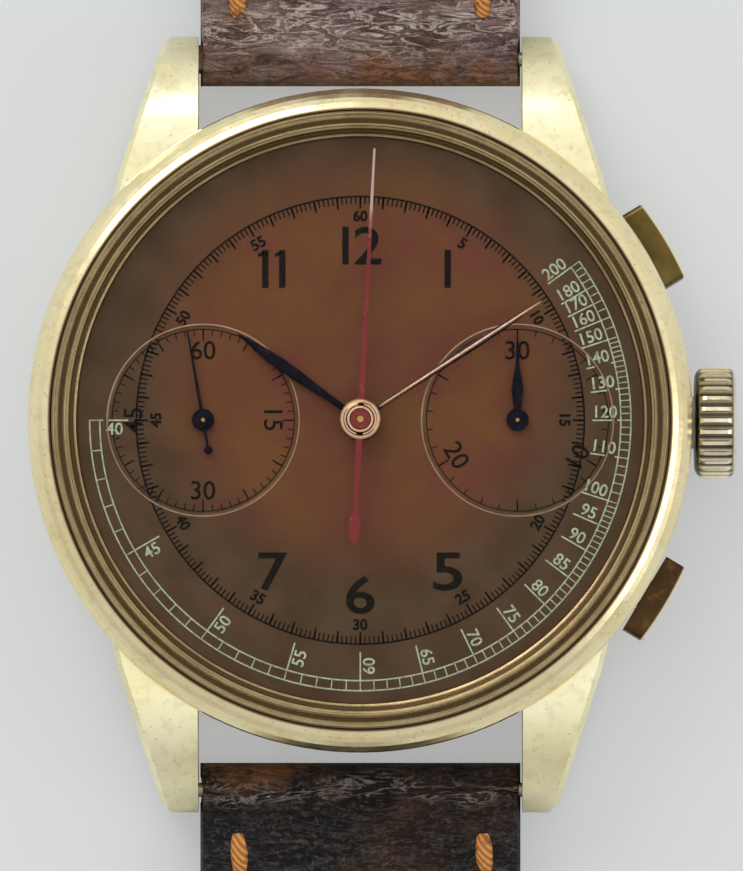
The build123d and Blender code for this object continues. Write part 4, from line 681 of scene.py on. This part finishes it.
def turned(outline, around=(0.0, 0.0), steps=256):
    """A ring turned from a closed outline of (radius, height) points."""
    deselect()
    radius, height = outline[0]
    bpy.ops.mesh.primitive_circle_add(vertices=steps, radius=radius, location=(*around, height))
    edit_all()
    for start, end in zip(outline, outline[1:] + outline[:1]):
        ratio = end[0] / start[0]
        bpy.ops.mesh.extrude_region_move(TRANSFORM_OT_translate={"value": (0, 0, end[1] - start[1])})
        bpy.ops.transform.resize(value=(ratio, ratio, 1), center_override=(*around, end[1]))
    closed()
    return bpy.context.object


def drawn_out(sections, sides=4):
    """A bar along +x with a diamond or round section, from (x, half width, half height) stations."""
    deselect()
    start, half, tall = sections[0]
    bpy.ops.mesh.primitive_circle_add(
        vertices=sides,
        radius=half,
        fill_type="NGON",
        location=(start, 0, 0),
        rotation=(0, radians(90), 0),
    )
    edit_all()
    bpy.ops.transform.resize(value=(1, 1, tall / half), center_override=(start, 0, 0))
    for before, after in zip(sections, sections[1:]):
        bpy.ops.mesh.extrude_region_move(TRANSFORM_OT_translate={"value": (after[0] - before[0], 0, 0)})
        size = (1, after[1] / before[1], after[2] / before[2])
        bpy.ops.transform.resize(value=size, center_override=(after[0], 0, 0))
    closed()
    placed()
    return bpy.context.object


def pointed(piece, angle, height):
    """Turns a hand that was made along +x to its angle and lifts it to its place."""
    piece.rotation_euler = (0, 0, angle)
    piece.location = (0, 0, height)
    placed()


# ------------------------------------------------------------------ printing on the dial

INK_HIGH = 0.012 * MM
TRACK_R = 12.4 * MM
MINUTE_NUMBER_R = TRACK_R - 1.08 * MM
HOUR_NUMBER_R = 9.68 * MM
HOUR_NUMBER_TALL = 2.1 * MM


def in_subdial(x, y, reach):
    """Whether a place on the dial lies within reach of the middle of one of the sunk subdials."""
    return any(hypot(x - centre.x, y - centre.y) < reach for centre in SUBDIALS)


def sunk_into_subdials(piece):
    """Lowers what lies over a subdial onto its sunk face."""
    for corner in piece.data.vertices:
        if in_subdial(corner.co.x, corner.co.y, SUBDIAL_R + 0.05 * MM):
            corner.co.z -= DIAL_FACE - SUBDIAL_FACE
    return piece


def ink_ring(radius, width, around=(0.0, 0.0), face=DIAL_FACE, steps=720):
    """A printed circle."""
    low, high = face - INK_HIGH / 2, face + INK_HIGH
    half = width / 2
    outline = [(radius - half, low), (radius + half, low), (radius + half, high), (radius - half, high)]
    return turned(outline, around, steps)


def ink_ticks(count, inner, outer, width, around=(0.0, 0.0), face=DIAL_FACE, first=0.0):
    """Printed ticks, spaced evenly clockwise round a circle."""
    low, high = face - INK_HIGH / 2, face + INK_HIGH
    at_top = (around[0], around[1] + (inner + outer) / 2, (low + high) / 2)
    piece = block(at_top, (width, outer - inner, high - low))
    piece.rotation_euler = (0, 0, -first)
    placed()
    edit_all()
    if count > 1:
        bpy.ops.mesh.spin(steps=count, dupli=True, angle=-tau, center=(*around, 0), axis=(0, 0, 1))
    closed()
    return piece


def printed_number(text, tall, place, turn=0.0, wide=None, weight=0.0):
    """A printed numeral of a given height, centred on its place."""
    deselect()
    bpy.ops.object.text_add()
    piece = bpy.context.object
    piece.data.body = text
    piece.data.offset = weight
    piece.data.extrude = 0.02
    piece.data.resolution_u = 4
    bpy.ops.object.convert(target="MESH")
    bpy.ops.object.origin_set(type="ORIGIN_GEOMETRY", center="BOUNDS")
    size = piece.dimensions
    high = tall / size.y
    piece.scale = (wide / size.x if wide else high, high, INK_HIGH / size.z)
    piece.rotation_euler = (0, 0, turn)
    piece.location = place
    placed()
    return piece


def on_clock(radius, clockwise):
    """A place at a radius and an angle clockwise from 12 o'clock, on whichever face is there."""
    x, y = radius * sin(clockwise), radius * cos(clockwise)
    face = SUBDIAL_FACE if in_subdial(x, y, SUBDIAL_R - 0.45 * MM) else DIAL_FACE
    return Vector((x, y, face + INK_HIGH / 2))


def make_minute_track():
    """The black minute circle, with fifth-of-a-second ticks inside it."""
    rings = [ink_ring(TRACK_R, 0.1 * MM)]
    ticks = [
        ink_ticks(300, TRACK_R - 0.42 * MM, TRACK_R, 0.085 * MM),
        ink_ticks(60, TRACK_R - 0.66 * MM, TRACK_R, 0.11 * MM),
    ]
    track = sunk_into_subdials(joined(rings + ticks))
    return settled(track, "minute_track", "case", BLACK_INK)


def make_minute_numbers():
    """60 and every fifth minute, each upright seen from the centre or from outside."""
    numbers = []
    for minute in range(5, 61, 5):
        clockwise = radians(minute * 6)
        lower_half = 90 < minute * 6 < 270
        turn = -clockwise + (pi if lower_half else 0)
        place = on_clock(MINUTE_NUMBER_R, clockwise)
        numbers.append(printed_number(str(minute), 0.64 * MM, place, turn, weight=0.04))
    return settled(joined(numbers), "minute_numbers", "case", BLACK_INK)


def make_hour_numbers():
    """The six hour numerals."""
    wide = {5: 1.62 * MM, 6: 1.6 * MM, 7: 1.62 * MM}
    numbers = []
    for hour in (12, 1, 5, 6, 7, 11):
        place = on_clock(HOUR_NUMBER_R, radians(hour * 30))
        if hour == 1:
            numbers.append(hour_stroke(place))
        elif hour == 11:
            numbers.append(hour_stroke(place - Vector((0.42 * MM, 0, 0)), True))
            numbers.append(hour_stroke(place + Vector((0.52 * MM, 0, 0)), True))
        elif hour == 12:
            numbers.append(hour_stroke(place - Vector((0.82 * MM, 0, 0))))
            right = place + Vector((0.42 * MM, 0, 0))
            numbers.append(
                printed_number("2", HOUR_NUMBER_TALL, right, wide=1.5 * MM, weight=0.012)
            )
        else:
            numbers.append(
                printed_number(str(hour), 2.12 * MM, place, wide=wide[hour], weight=0.012)
            )
    return settled(joined(numbers), "hour_numbers", "case", BLACK_INK)


def hour_stroke(place, flagged=False):
    """A numeral one: a plain bar, with a short slanted flag where it has one."""
    stroke = block(place, (0.36 * MM, HOUR_NUMBER_TALL, INK_HIGH))
    if not flagged:
        return stroke
    flag_place = place + Vector((-0.22 * MM, 0.83 * MM, 0))
    flag = block(flag_place, (0.4 * MM, 0.2 * MM, INK_HIGH), radians(28))
    return joined([stroke, flag])


PULSE_STEPS = (200, *range(180, 100, -10), *range(100, 39, -5))
PULSES_COUNTED = 30
PULSE_INNER = 12.85 * MM
PULSE_RAIL = 14.42 * MM
RAIL_WIDE = 0.56 * MM
RAIL_BEATS = (*range(40, 100), *range(100, 150, 2), *range(150, 201, 5))


def pulse_degrees(beats):
    """How far the sweep hand goes while the counted pulses pass, at so many beats a minute."""
    return 360 * PULSES_COUNTED / beats


def make_pulse_lines():
    """The pulse scale's radial lines and its double outer rail."""
    lines = []
    for beats in PULSE_STEPS:
        angle = radians(pulse_degrees(beats))
        lines.append(ink_ticks(1, PULSE_INNER, PULSE_RAIL, 0.085 * MM, first=angle))
    start, end = radians(54), radians(270)
    for radius in (PULSE_RAIL, PULSE_RAIL + RAIL_WIDE):
        lines.append(cut_to_arc(ink_ring(radius, 0.08 * MM), start, end))
    for beats in RAIL_BEATS:
        angle = radians(pulse_degrees(beats))
        lines.append(ink_ticks(1, PULSE_RAIL, PULSE_RAIL + RAIL_WIDE, 0.06 * MM, first=angle))
    return settled(sunk_into_subdials(joined(lines)), "pulse_lines", "case", PALE_INK)


def clockwise_from_top(x, y):
    """Angle of a place on the dial, clockwise from 12 o'clock, from 0 to a full turn."""
    return atan2(x, y) % tau


def cut_to_arc(piece, start, end):
    """Keeps the part of a printed circle between two clockwise angles, and closes its ends."""
    take_up(piece)
    edit_all()
    bpy.ops.mesh.select_all(action="DESELECT")
    bpy.ops.object.mode_set(mode="OBJECT")
    for corner in piece.data.vertices:
        corner.select = not start <= clockwise_from_top(corner.co.x, corner.co.y) <= end
    bpy.ops.object.mode_set(mode="EDIT")
    bpy.ops.mesh.delete(type="VERT")
    bpy.ops.mesh.select_all(action="SELECT")
    bpy.ops.mesh.fill_holes(sides=4)
    closed()
    return piece


def make_pulse_numbers():
    """The pulse scale's numerals, each beside its line."""
    numbers = []
    for beats in PULSE_STEPS:
        clockwise = pulse_degrees(beats)
        middle_r = (PULSE_INNER + PULSE_RAIL) / 2 - 0.02 * MM
        back = 0.47 * MM / middle_r
        turn = radians(90 - clockwise + (180 if clockwise >= 180 else 0))
        place = on_clock(middle_r, radians(clockwise) - back)
        numbers.append(printed_number(str(beats), 0.68 * MM, place, turn, weight=0.012))
    return settled(joined(numbers), "pulse_numbers", "case", PALE_INK)


def make_subdial_print():
    """Both subdials' circles, ticks and numerals."""
    prints = []
    for centre, count, marks in (
        (SUBDIALS[0], 60, ((0, "60", 0), (90, "15", -90), (180, "30", 0), (270, "45", 90))),
        (SUBDIALS[1], 30, ((0, "30", 0), (120, "10", 60), (240, "20", -60))),
    ):
        around = (centre.x, centre.y)
        outer = SUBDIAL_R - 0.16 * MM
        prints.append(ink_ring(outer, 0.06 * MM, around, SUBDIAL_FACE, 256))
        prints.append(ink_ticks(count, outer - 0.34 * MM, outer, 0.065 * MM, around, SUBDIAL_FACE))
        prints.append(
            ink_ticks(count // 5, outer - 0.64 * MM, outer, 0.08 * MM, around, SUBDIAL_FACE)
        )
        for clockwise, text, turn in marks:
            direction = Vector((sin(radians(clockwise)), cos(radians(clockwise)), 0))
            away = (SUBDIAL_R - 1.32 * MM) * direction
            place = centre + away + Vector((0, 0, INK_HIGH / 2))
            prints.append(printed_number(text, 1.05 * MM, place, radians(turn), weight=0.008))
    return settled(joined(prints), "subdial_print", "case", BLACK_INK)


def make_subdial_rims():
    """The bright bevelled edge round each subdial."""
    rims = []
    for centre in SUBDIALS:
        inner, outer = SUBDIAL_R - 0.03 * MM, SUBDIAL_R + 0.12 * MM
        outline = [
            (inner, SUBDIAL_FACE + 0.004 * MM),
            (inner, SUBDIAL_FACE - 0.05 * MM),
            (outer, DIAL_FACE - 0.05 * MM),
            (outer + 0.03 * MM, DIAL_FACE + 0.012 * MM),
            (outer - 0.04 * MM, DIAL_FACE + 0.02 * MM),
        ]
        rims.append(turned(outline, (centre.x, centre.y), 192))
    return settled(joined(rims), "subdial_rims", "case", RIM_COPPER)


make_minute_track()
make_minute_numbers()
make_hour_numbers()
make_pulse_lines()
make_pulse_numbers()
make_subdial_print()
make_subdial_rims()

# ------------------------------------------------------------------ hands

HAND_THICK = 0.18 * MM


def disc(radius, low, high, bore):
    """A turned boss with softened outer edges."""
    edge = 0.03 * MM
    outline = [
        (bore, low),
        (radius - edge, low),
        (radius, low + edge),
        (radius, high - edge),
        (radius - edge, high),
        (bore, high),
    ]
    return turned(outline, steps=96)


def make_hour_hand():
    """A blued leaf with a raised ridge, narrow at its boss and fullest past its middle."""
    low = top_of("hour_hand") - HAND_THICK
    thick = 0.088 * MM
    stations = [(0.6, 0.17, thick), (2.2, 0.2, thick), (4.0, 0.3, thick), (5.4, 0.34, thick)]
    stations += [(6.6, 0.26, thick), (7.6, 0.13, 0.07 * MM), (8.28, 0.04, 0.03 * MM)]
    blade = drawn_out([(x * MM, half * MM, tall) for x, half, tall in stations])
    pointed(blade, HOUR_ANGLE, low + HAND_THICK / 2)
    boss = disc(1.14 * MM, low, low + HAND_THICK, bore=0.87 * MM)
    hand = settled(joined([blade, boss]), "hour_hand_leaf", "hour", HAND_BLUE)
    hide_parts("hour_hand")


def make_minute_hand():
    """The long slender leaf."""
    low = top_of("minute_hand") - HAND_THICK
    thick = 0.088 * MM
    stations = [(0.6, 0.13, thick), (3.0, 0.14, thick), (6.0, 0.19, thick), (7.6, 0.22, thick)]
    stations += [(9.4, 0.18, thick), (11.0, 0.11, 0.07 * MM), (11.98, 0.04, 0.03 * MM)]
    blade = drawn_out([(x * MM, half * MM, tall) for x, half, tall in stations])
    pointed(blade, MINUTE_ANGLE, low + HAND_THICK / 2)
    boss = disc(0.94 * MM, low, low + HAND_THICK, bore=0.57 * MM)
    hand = settled(joined([blade, boss]), "minute_hand_leaf", "centre", MINUTE_BLUE_PAINTED_HIGHLIGHT)
    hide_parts("minute_hand")


def make_hub_ring():
    """The polished gilt collar of the sweep hand, over its red boss."""
    low = top_of("chronograph_hand") - 0.4 * MM
    profile = (
        (0.56, 0.0),
        (1.04, 0.0),
        (1.12, 0.06),
        (1.12, 0.13),
        (1.05, 0.2),
        (0.95, 0.2),
        (0.88, 0.12),
        (0.76, 0.12),
        (0.72, 0.26),
        (0.6, 0.26),
        (0.56, 0.2),
    )
    outline = [(radius * MM, low + rise * MM) for radius, rise in profile]
    settled(turned(outline, steps=96), "sweep_hub_ring", "runner", HUB_GOLD)


make_hour_hand()
make_minute_hand()
make_hub_ring()

# ------------------------------------------------------------------ pusher springs


def make_pusher_spring(node):
    """A pusher's return spring, copied from its part and riding on the case."""
    spring = nodes[node].copy()
    spring.data = nodes[node].data.copy()
    bpy.context.scene.collection.objects.link(spring)
    take_up(spring)
    edit_all()
    closed()
    settled(spring, node + "_wire", "case", BRUSHED, 60)
    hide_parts(node)
    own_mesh(spring)


make_pusher_spring("pusher_spring_start")
make_pusher_spring("pusher_spring_reset")

# ------------------------------------------------------------------ leather

STRAP_WIDTH = 17.8 * MM
STRAP_END_WIDTH = 16.0 * MM
LOOP_R = 1.5 * MM
BUCKLE_LOOP_R = 1.3 * MM
BUCKLE_BAR_Y = middle("buckle_bar").y
BUCKLE_BAR_Z = middle("buckle_bar").z
STITCH_INSET = 2.1 * MM
TAPER_FROM_Y = 30 * MM
TAPER_LONG = 44 * MM
WRINKLED_FROM_Y = 19 * MM
WRINKLES_LONG = 16 * MM
CROWN_DROP = 0.16 * MM
EDGE_DROP = 0.12 * MM
GROOVE_DEEP = 0.1 * MM
END_ROUNDED = 0.8 * MM
STRAP_TIP_Y = 132 * MM
TIP_LONG = 9 * MM
TIP_THINNED = 0.8 * MM
BAR_HOLE_R = 0.8 * MM
BUCKLE_BAR_HOLE_R = 0.65 * MM
HOLE_COUNT = 7
HOLE_PITCH = 6.5 * MM
FIRST_HOLE_Y = 78 * MM
STITCH_PITCH = 3.5 * MM
STITCH_LONG = 2.3 * MM

# (y, z) in mm along the upper and lower face of each half
BUCKLE_HALF_TOP = (
    (20.35, 4.0), (26, 4.27), (32, 4.33), (40, 4.1), (48, 3.75), (62, 3.1), (90, 2.98), (94, 3.5)
)
BUCKLE_HALF_LOW = ((20.35, 1.0), (26, 0.98), (90, 0.95), (94, 0.9))
HOLE_HALF_TOP = (
    (20.35, 4.0), (26, 4.2), (32, 4.1), (39, 3.5), (46, 2.95), (58, 2.2), (90, 2.0), (132, 1.9)
)
HOLE_HALF_LOW = ((20.35, 1.0), (24, 0.62), (28, 0.3), (34, 0.02), (60, 0.02), (132, 0.02))


def along(points, y):
    """Height at y on a smooth line through (y, z) points in mm."""
    y = y / MM
    if y <= points[0][0]:
        return points[0][1] * MM
    for (start, low), (end, high) in zip(points, points[1:]):
        if y <= end:
            share = (y - start) / (end - start)
            share = share * share * (3 - 2 * share) * 0.5 + share * 0.5
            return (low + (high - low) * share) * MM
    return points[-1][1] * MM


def strap_half_width(y):
    """Half the strap's width at a distance from the watch's centre."""
    share = min(max((y - TAPER_FROM_Y) / TAPER_LONG, 0), 1)
    return (STRAP_WIDTH + (STRAP_END_WIDTH - STRAP_WIDTH) * share) / 2


def loop_round(y, bar_y, bar_z, radius):
    """(low, high) of the leather at y, where it loops round a bar."""
    rise = sqrt(max(radius**2 - (y - bar_y) ** 2, 0))
    return bar_z - rise, bar_z + rise


def buckle_half(y):
    """(half width, low, high) of the half that carries the buckle, at y."""
    low, high = along(BUCKLE_HALF_LOW, y), along(BUCKLE_HALF_TOP, y)
    if y < BAR_Y:
        low, high = loop_round(y, BAR_Y, BAR_Z, LOOP_R)
    if y > BUCKLE_BAR_Y:
        low, high = loop_round(y, BUCKLE_BAR_Y, BUCKLE_BAR_Z, BUCKLE_LOOP_R)
    return strap_half_width(y), low, high


def hole_half(y):
    """(half width, low, high) of the long pointed half, at y."""
    low, high = along(HOLE_HALF_LOW, y), along(HOLE_HALF_TOP, y)
    wide = strap_half_width(y)
    if y < BAR_Y:
        low, high = loop_round(y, BAR_Y, BAR_Z, LOOP_R)
    left = STRAP_TIP_Y - y
    if left < TIP_LONG:
        wide *= sqrt(max(1 - (1 - left / TIP_LONG) ** 2.2, 0.00001))
    if left < TIP_THINNED:
        thin = sqrt(max(1 - (1 - left / TIP_THINNED) ** 2, 0))
        centre, half = (low + high) / 2, (high - low) / 2 * thin
        low, high = centre - half, centre + half
    return wide, low, high


def crease(x, y, pattern):
    """Depth of the leather's wrinkles: folds across the strap, deepest near the watch, and a grain."""
    near = max(0.0, 1 - (y - WRINKLED_FROM_Y) / WRINKLES_LONG)
    place = Vector((x / MM, y / MM, 0))
    fold_place = Vector((place.x * 0.13, place.y * 0.7, pattern))
    fold = noise.ridged_multi_fractal(fold_place, 0.8, 2.1, 5, 0.9, 2.0)
    fine = noise.fractal(Vector((place.x * 0.6, place.y * 1.5, pattern)), 0.8, 2.0, 5)
    return (fold * (0.05 + 0.1 * near) + fine * (0.04 + 0.05 * near)) * MM


def strap_surface(shape, first, last, pattern):
    """One strap half as a closed skin: a sheet wrapped round, crowned between two stitched edges."""
    round_steps, long_steps = 96, 300
    deselect()
    bpy.ops.mesh.primitive_grid_add(x_subdivisions=round_steps, y_subdivisions=long_steps, size=1)
    skin = bpy.context.object
    for corner in skin.data.vertices:
        round_share, long_share = corner.co.x + 0.5, corner.co.y + 0.5
        eased = 0.5 - 0.5 * cos(pi * long_share)
        y = first + (last - first) * (0.35 * eased + 0.65 * long_share)
        wide, low, high = shape(min(max(y, first), last))
        top = round_share <= 0.5
        across = 4 * round_share - 1 if top else 3 - 4 * round_share
        across = sin(across * pi / 2) * 0.6 + across * 0.4
        across = min(max(across, -1.0), 1.0)
        x = across * wide
        full = (1 - abs(across) ** 9) ** (1 / 9)
        centre, half = (low + high) / 2, (high - low) / 2
        z = centre + (half if top else -half) * full
        if top:
            ends = min(1.0, (y - first) / END_ROUNDED, (last - y) / END_ROUNDED)
            inset = (wide - abs(x)) / STITCH_INSET
            crown = CROWN_DROP * max(0.0, 1 - inset * 0.7) + EDGE_DROP * (x / wide) ** 2
            groove = GROOVE_DEEP * max(0.0, 1 - abs(inset - 1) * 3.2)
            fade = min(1.0, (1 - abs(across)) * 12)
            z -= (crown + groove + fade * crease(x, y, pattern)) * max(ends, 0.0)
        corner.co = (x, y, z)
    edit_all()
    closed()
    return skin


def cut_away(piece, cutters):
    """Takes cutters' shapes out of a piece."""
    for cutter in cutters:
        take_up(piece)
        hole = piece.modifiers.new("hole", "BOOLEAN")
        hole.operation = "DIFFERENCE"
        hole.solver = "EXACT"
        hole.object = cutter
        bpy.ops.object.modifier_apply(modifier=hole.name)
        bpy.data.objects.remove(cutter, do_unlink=True)
    return piece


def bar_cutter(y, z, radius):
    """A long cylinder across the strap."""
    deselect()
    sideways = (0, radians(90), 0)
    bpy.ops.mesh.primitive_cylinder_add(
        vertices=32, radius=radius, depth=22 * MM, location=(0, y, z), rotation=sideways
    )
    return bpy.context.object


def half_turned(piece):
    """Turns a piece half round the watch's axis, to 6 o'clock."""
    piece.rotation_euler = (0, 0, pi)
    take_up(piece)
    placed()
    return piece


def make_buckle_strap():
    """The half at 12 o'clock."""
    skin = strap_surface(buckle_half, BAR_Y - LOOP_R, BUCKLE_BAR_Y + BUCKLE_LOOP_R, 3.0)
    tongue_slot = block((0, BUCKLE_BAR_Y + 1.1 * MM, 3 * MM), (2.3 * MM, 6 * MM, 8 * MM))
    watch_end = bar_cutter(BAR_Y, BAR_Z, BAR_HOLE_R)
    buckle_end = bar_cutter(BUCKLE_BAR_Y, BUCKLE_BAR_Z, BUCKLE_BAR_HOLE_R)
    cut_away(skin, [watch_end, buckle_end, tongue_slot])
    strap = settled(skin, "strap_buckle_leather", "strap_top", LIT_LEATHER, 60)
    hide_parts("strap_buckle_half")


def make_hole_strap():
    """The long half at 6 o'clock, with its holes."""
    skin = strap_surface(hole_half, BAR_Y - LOOP_R, STRAP_TIP_Y, 7.0)
    cutters = [bar_cutter(BAR_Y, BAR_Z, BAR_HOLE_R)]
    for hole in range(HOLE_COUNT):
        deselect()
        centre = (0, FIRST_HOLE_Y + hole * HOLE_PITCH, 0)
        bpy.ops.mesh.primitive_cylinder_add(vertices=32, radius=MM, depth=9 * MM, location=centre)
        cutters.append(bpy.context.object)
    cut_away(skin, cutters)
    skin = half_turned(skin)
    strap = settled(skin, "strap_hole_leather", "strap_bottom", SHADED_LEATHER, 60)
    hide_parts("strap_hole_half")


def one_stitch(x, y, shape):
    """A thread stitch lying in the groove, its ends pulled down into the leather."""
    stations = []
    for share in (0, 0.08, 0.3, 0.5, 0.7, 0.92, 1):
        half = (0.26 + 0.22 * sin(pi * share) ** 0.5) * MM
        stations.append((share * STITCH_LONG, half, 0.5 * half))
    thread = drawn_out(stations, 10)
    thread.rotation_euler = (0, 0, radians(90 + 4 * sin(37 * y / MM)))
    start, end = shape(y)[2], shape(y + STITCH_LONG)[2]
    lie = min(start, end) - 0.3 * MM
    thread.location = (x, y, lie)
    placed()
    for corner in thread.data.vertices:
        share = (corner.co.y - y) / STITCH_LONG
        bow = 0.13 * MM * sin(pi * min(max(share, 0), 1))
        corner.co.z += bow + (end - start) * (share - 0.5) * 0.5
    return thread


def make_stitches(name, shape, first, last, body, turned_round):
    """Both rows of stitches of a strap half."""
    stitches = []
    for row in range(int((last - first) / STITCH_PITCH)):
        y = first + STITCH_PITCH * row
        for side in (-1, 1):
            x = side * (strap_half_width(y) - STITCH_INSET)
            stitches.append(one_stitch(x, y, shape))
    rows = joined(stitches)
    if turned_round:
        rows = half_turned(rows)
    settled(rows, name, body, THREAD)


def squared(value, power):
    """A sine or cosine pushed out towards 1 and -1, which squares a round section's corners."""
    return abs(value) ** power * (1 if value > 0 else -1)


def make_keeper(name, node, body):
    """A leather loop with rounded edges and a slightly crowned top."""
    low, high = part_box(node)
    centre = (low + high) / 2
    wide, tall = (high.x - low.x) / 2, (high.z - low.z) / 2
    length, band = (high.y - low.y) / 2, 0.82 * MM
    deselect()
    bpy.ops.mesh.primitive_grid_add(x_subdivisions=160, y_subdivisions=32, size=1)
    loop = bpy.context.object
    for corner in loop.data.vertices:
        around, section = (corner.co.x + 0.5) * tau, (corner.co.y + 0.5) * tau
        inward = band / 2 * (1 - squared(cos(section), 0.25))
        sideways = (length - 0.02 * MM) * squared(sin(section), 0.25)
        out_x = squared(cos(around), 0.16)
        out_z = squared(sin(around), 0.3)
        dent = 0.03 * MM * (1 + noise.noise(Vector((out_x * 9, sideways / MM, out_z * 3))))
        x = out_x * (wide - inward - dent)
        z = out_z * (tall - inward - dent)
        corner.co = (x, centre.y + sideways, centre.z + z)
    edit_all()
    closed()
    keeper = settled(loop, name, body, LIT_LEATHER, 60)
    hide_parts(node)


make_buckle_strap()
make_hole_strap()
make_stitches("buckle_half_stitches", buckle_half, 22.6 * MM, 88 * MM, "strap_top", False)
make_stitches("hole_half_stitches", hole_half, 22.8 * MM, 122 * MM, "strap_bottom", True)
make_keeper("fixed_keeper_leather", "fixed_keeper", "strap_top")
make_keeper("free_keeper_leather", "free_keeper", "keeper")

# ------------------------------------------------------------------ floor, light and camera


def make_backdrop():
    """A pale, slightly bluish floor that keeps the shadow."""
    deselect()
    just_below = (0, 0, -0.05 * MM)
    bpy.ops.mesh.primitive_grid_add(x_subdivisions=8, y_subdivisions=8, size=3.0, location=just_below)
    floor = bpy.context.object
    floor.name = "floor"
    made = Finish("pale_floor", Roughness=0.9)
    made.finish(made.blend(made.noise(30, 3), srgb(208, 211, 212), srgb(213, 216, 217)))
    glow = made.add("ShaderNodeEmission")
    glow.inputs["Color"].default_value = srgb(217, 219, 220)
    seen = made.math("MULTIPLY", made.add("ShaderNodeLightPath").outputs["Is Camera Ray"], 0.5)
    made.layered(seen, made.shader.outputs["BSDF"], glow.outputs["Emission"])
    paint(floor, made.material)


def make_world():
    """A soft studio, brightest above and towards 12 o'clock, and plain pale to the camera."""
    world = bpy.data.worlds.new("studio")
    bpy.context.scene.world = world
    world.use_nodes = True
    made = Nodes(world.node_tree)
    made.tree.nodes.clear()
    made.add("ShaderNodeOutputWorld")
    direction = made.add("ShaderNodeTexCoord").outputs["Generated"]
    upwards = made.add("ShaderNodeValToRGB")
    upwards.color_ramp.elements[0].color = (0.78, 0.77, 0.74, 1)
    upwards.color_ramp.elements[1].color = (1.0, 1.0, 0.99, 1)
    band = upwards.color_ramp.elements.new(0.4)
    band.color = (0.66, 0.65, 0.63, 1)
    made.join(made.split(direction, "Z"), upwards.inputs["Fac"])
    towards_top = made.spread(made.split(direction, "Y"), -0.45, 0.45, 0.8, 1.12)
    studio = made.add("ShaderNodeBackground")
    light = made.blend(1.0, upwards.outputs["Color"], towards_top, "MULTIPLY")
    made.join(light, studio.inputs["Color"])
    plain = made.add("ShaderNodeBackground")
    plain.inputs["Color"].default_value = srgb(218, 219, 219)
    seen = made.add("ShaderNodeLightPath").outputs["Is Camera Ray"]
    made.layered(seen, studio.outputs["Background"], plain.outputs["Background"], "World Output")


def make_light(name, place, size, power, colour=(1, 1, 1)):
    """A soft square light that looks at the watch."""
    lamp = bpy.data.lights.new(name, "AREA")
    lamp.shape = "SQUARE"
    lamp.size = size
    lamp.energy = power
    lamp.color = colour
    holder = bpy.data.objects.new(name, lamp)
    bpy.context.scene.collection.objects.link(holder)
    holder.location = place
    towards_watch = Vector((0, 0, 8 * MM)) - Vector(place)
    holder.rotation_euler = towards_watch.to_track_quat("-Z", "Y").to_euler()


def make_camera():
    """The view from above, tipped a little towards 6 o'clock."""
    distance, tall_view, film_tall = 0.9, 48.17 * MM, 36
    aim = Vector((0.62 * MM, -0.88 * MM, BEZEL_TOP - 0.5 * MM))
    elevation = radians(87.5)
    lens = bpy.data.cameras.new("camera")
    lens.sensor_fit = "VERTICAL"
    lens.sensor_height = film_tall
    lens.lens = film_tall * distance / tall_view
    lens.clip_start = 0.01
    holder = bpy.data.objects.new("camera", lens)
    bpy.context.scene.collection.objects.link(holder)
    holder.location = aim + distance * Vector((0, -cos(elevation), sin(elevation)))
    holder.rotation_euler = (radians(90) - elevation, 0, 0)
    bpy.context.scene.camera = holder


make_backdrop()
make_world()
make_light("key", (-0.2, 0.36, 0.34), 0.3, 1.1)
make_light("fill", (0.4, -0.1, 0.3), 0.3, 0.4)
make_camera()
bpy.context.scene.view_settings.view_transform = "Standard"
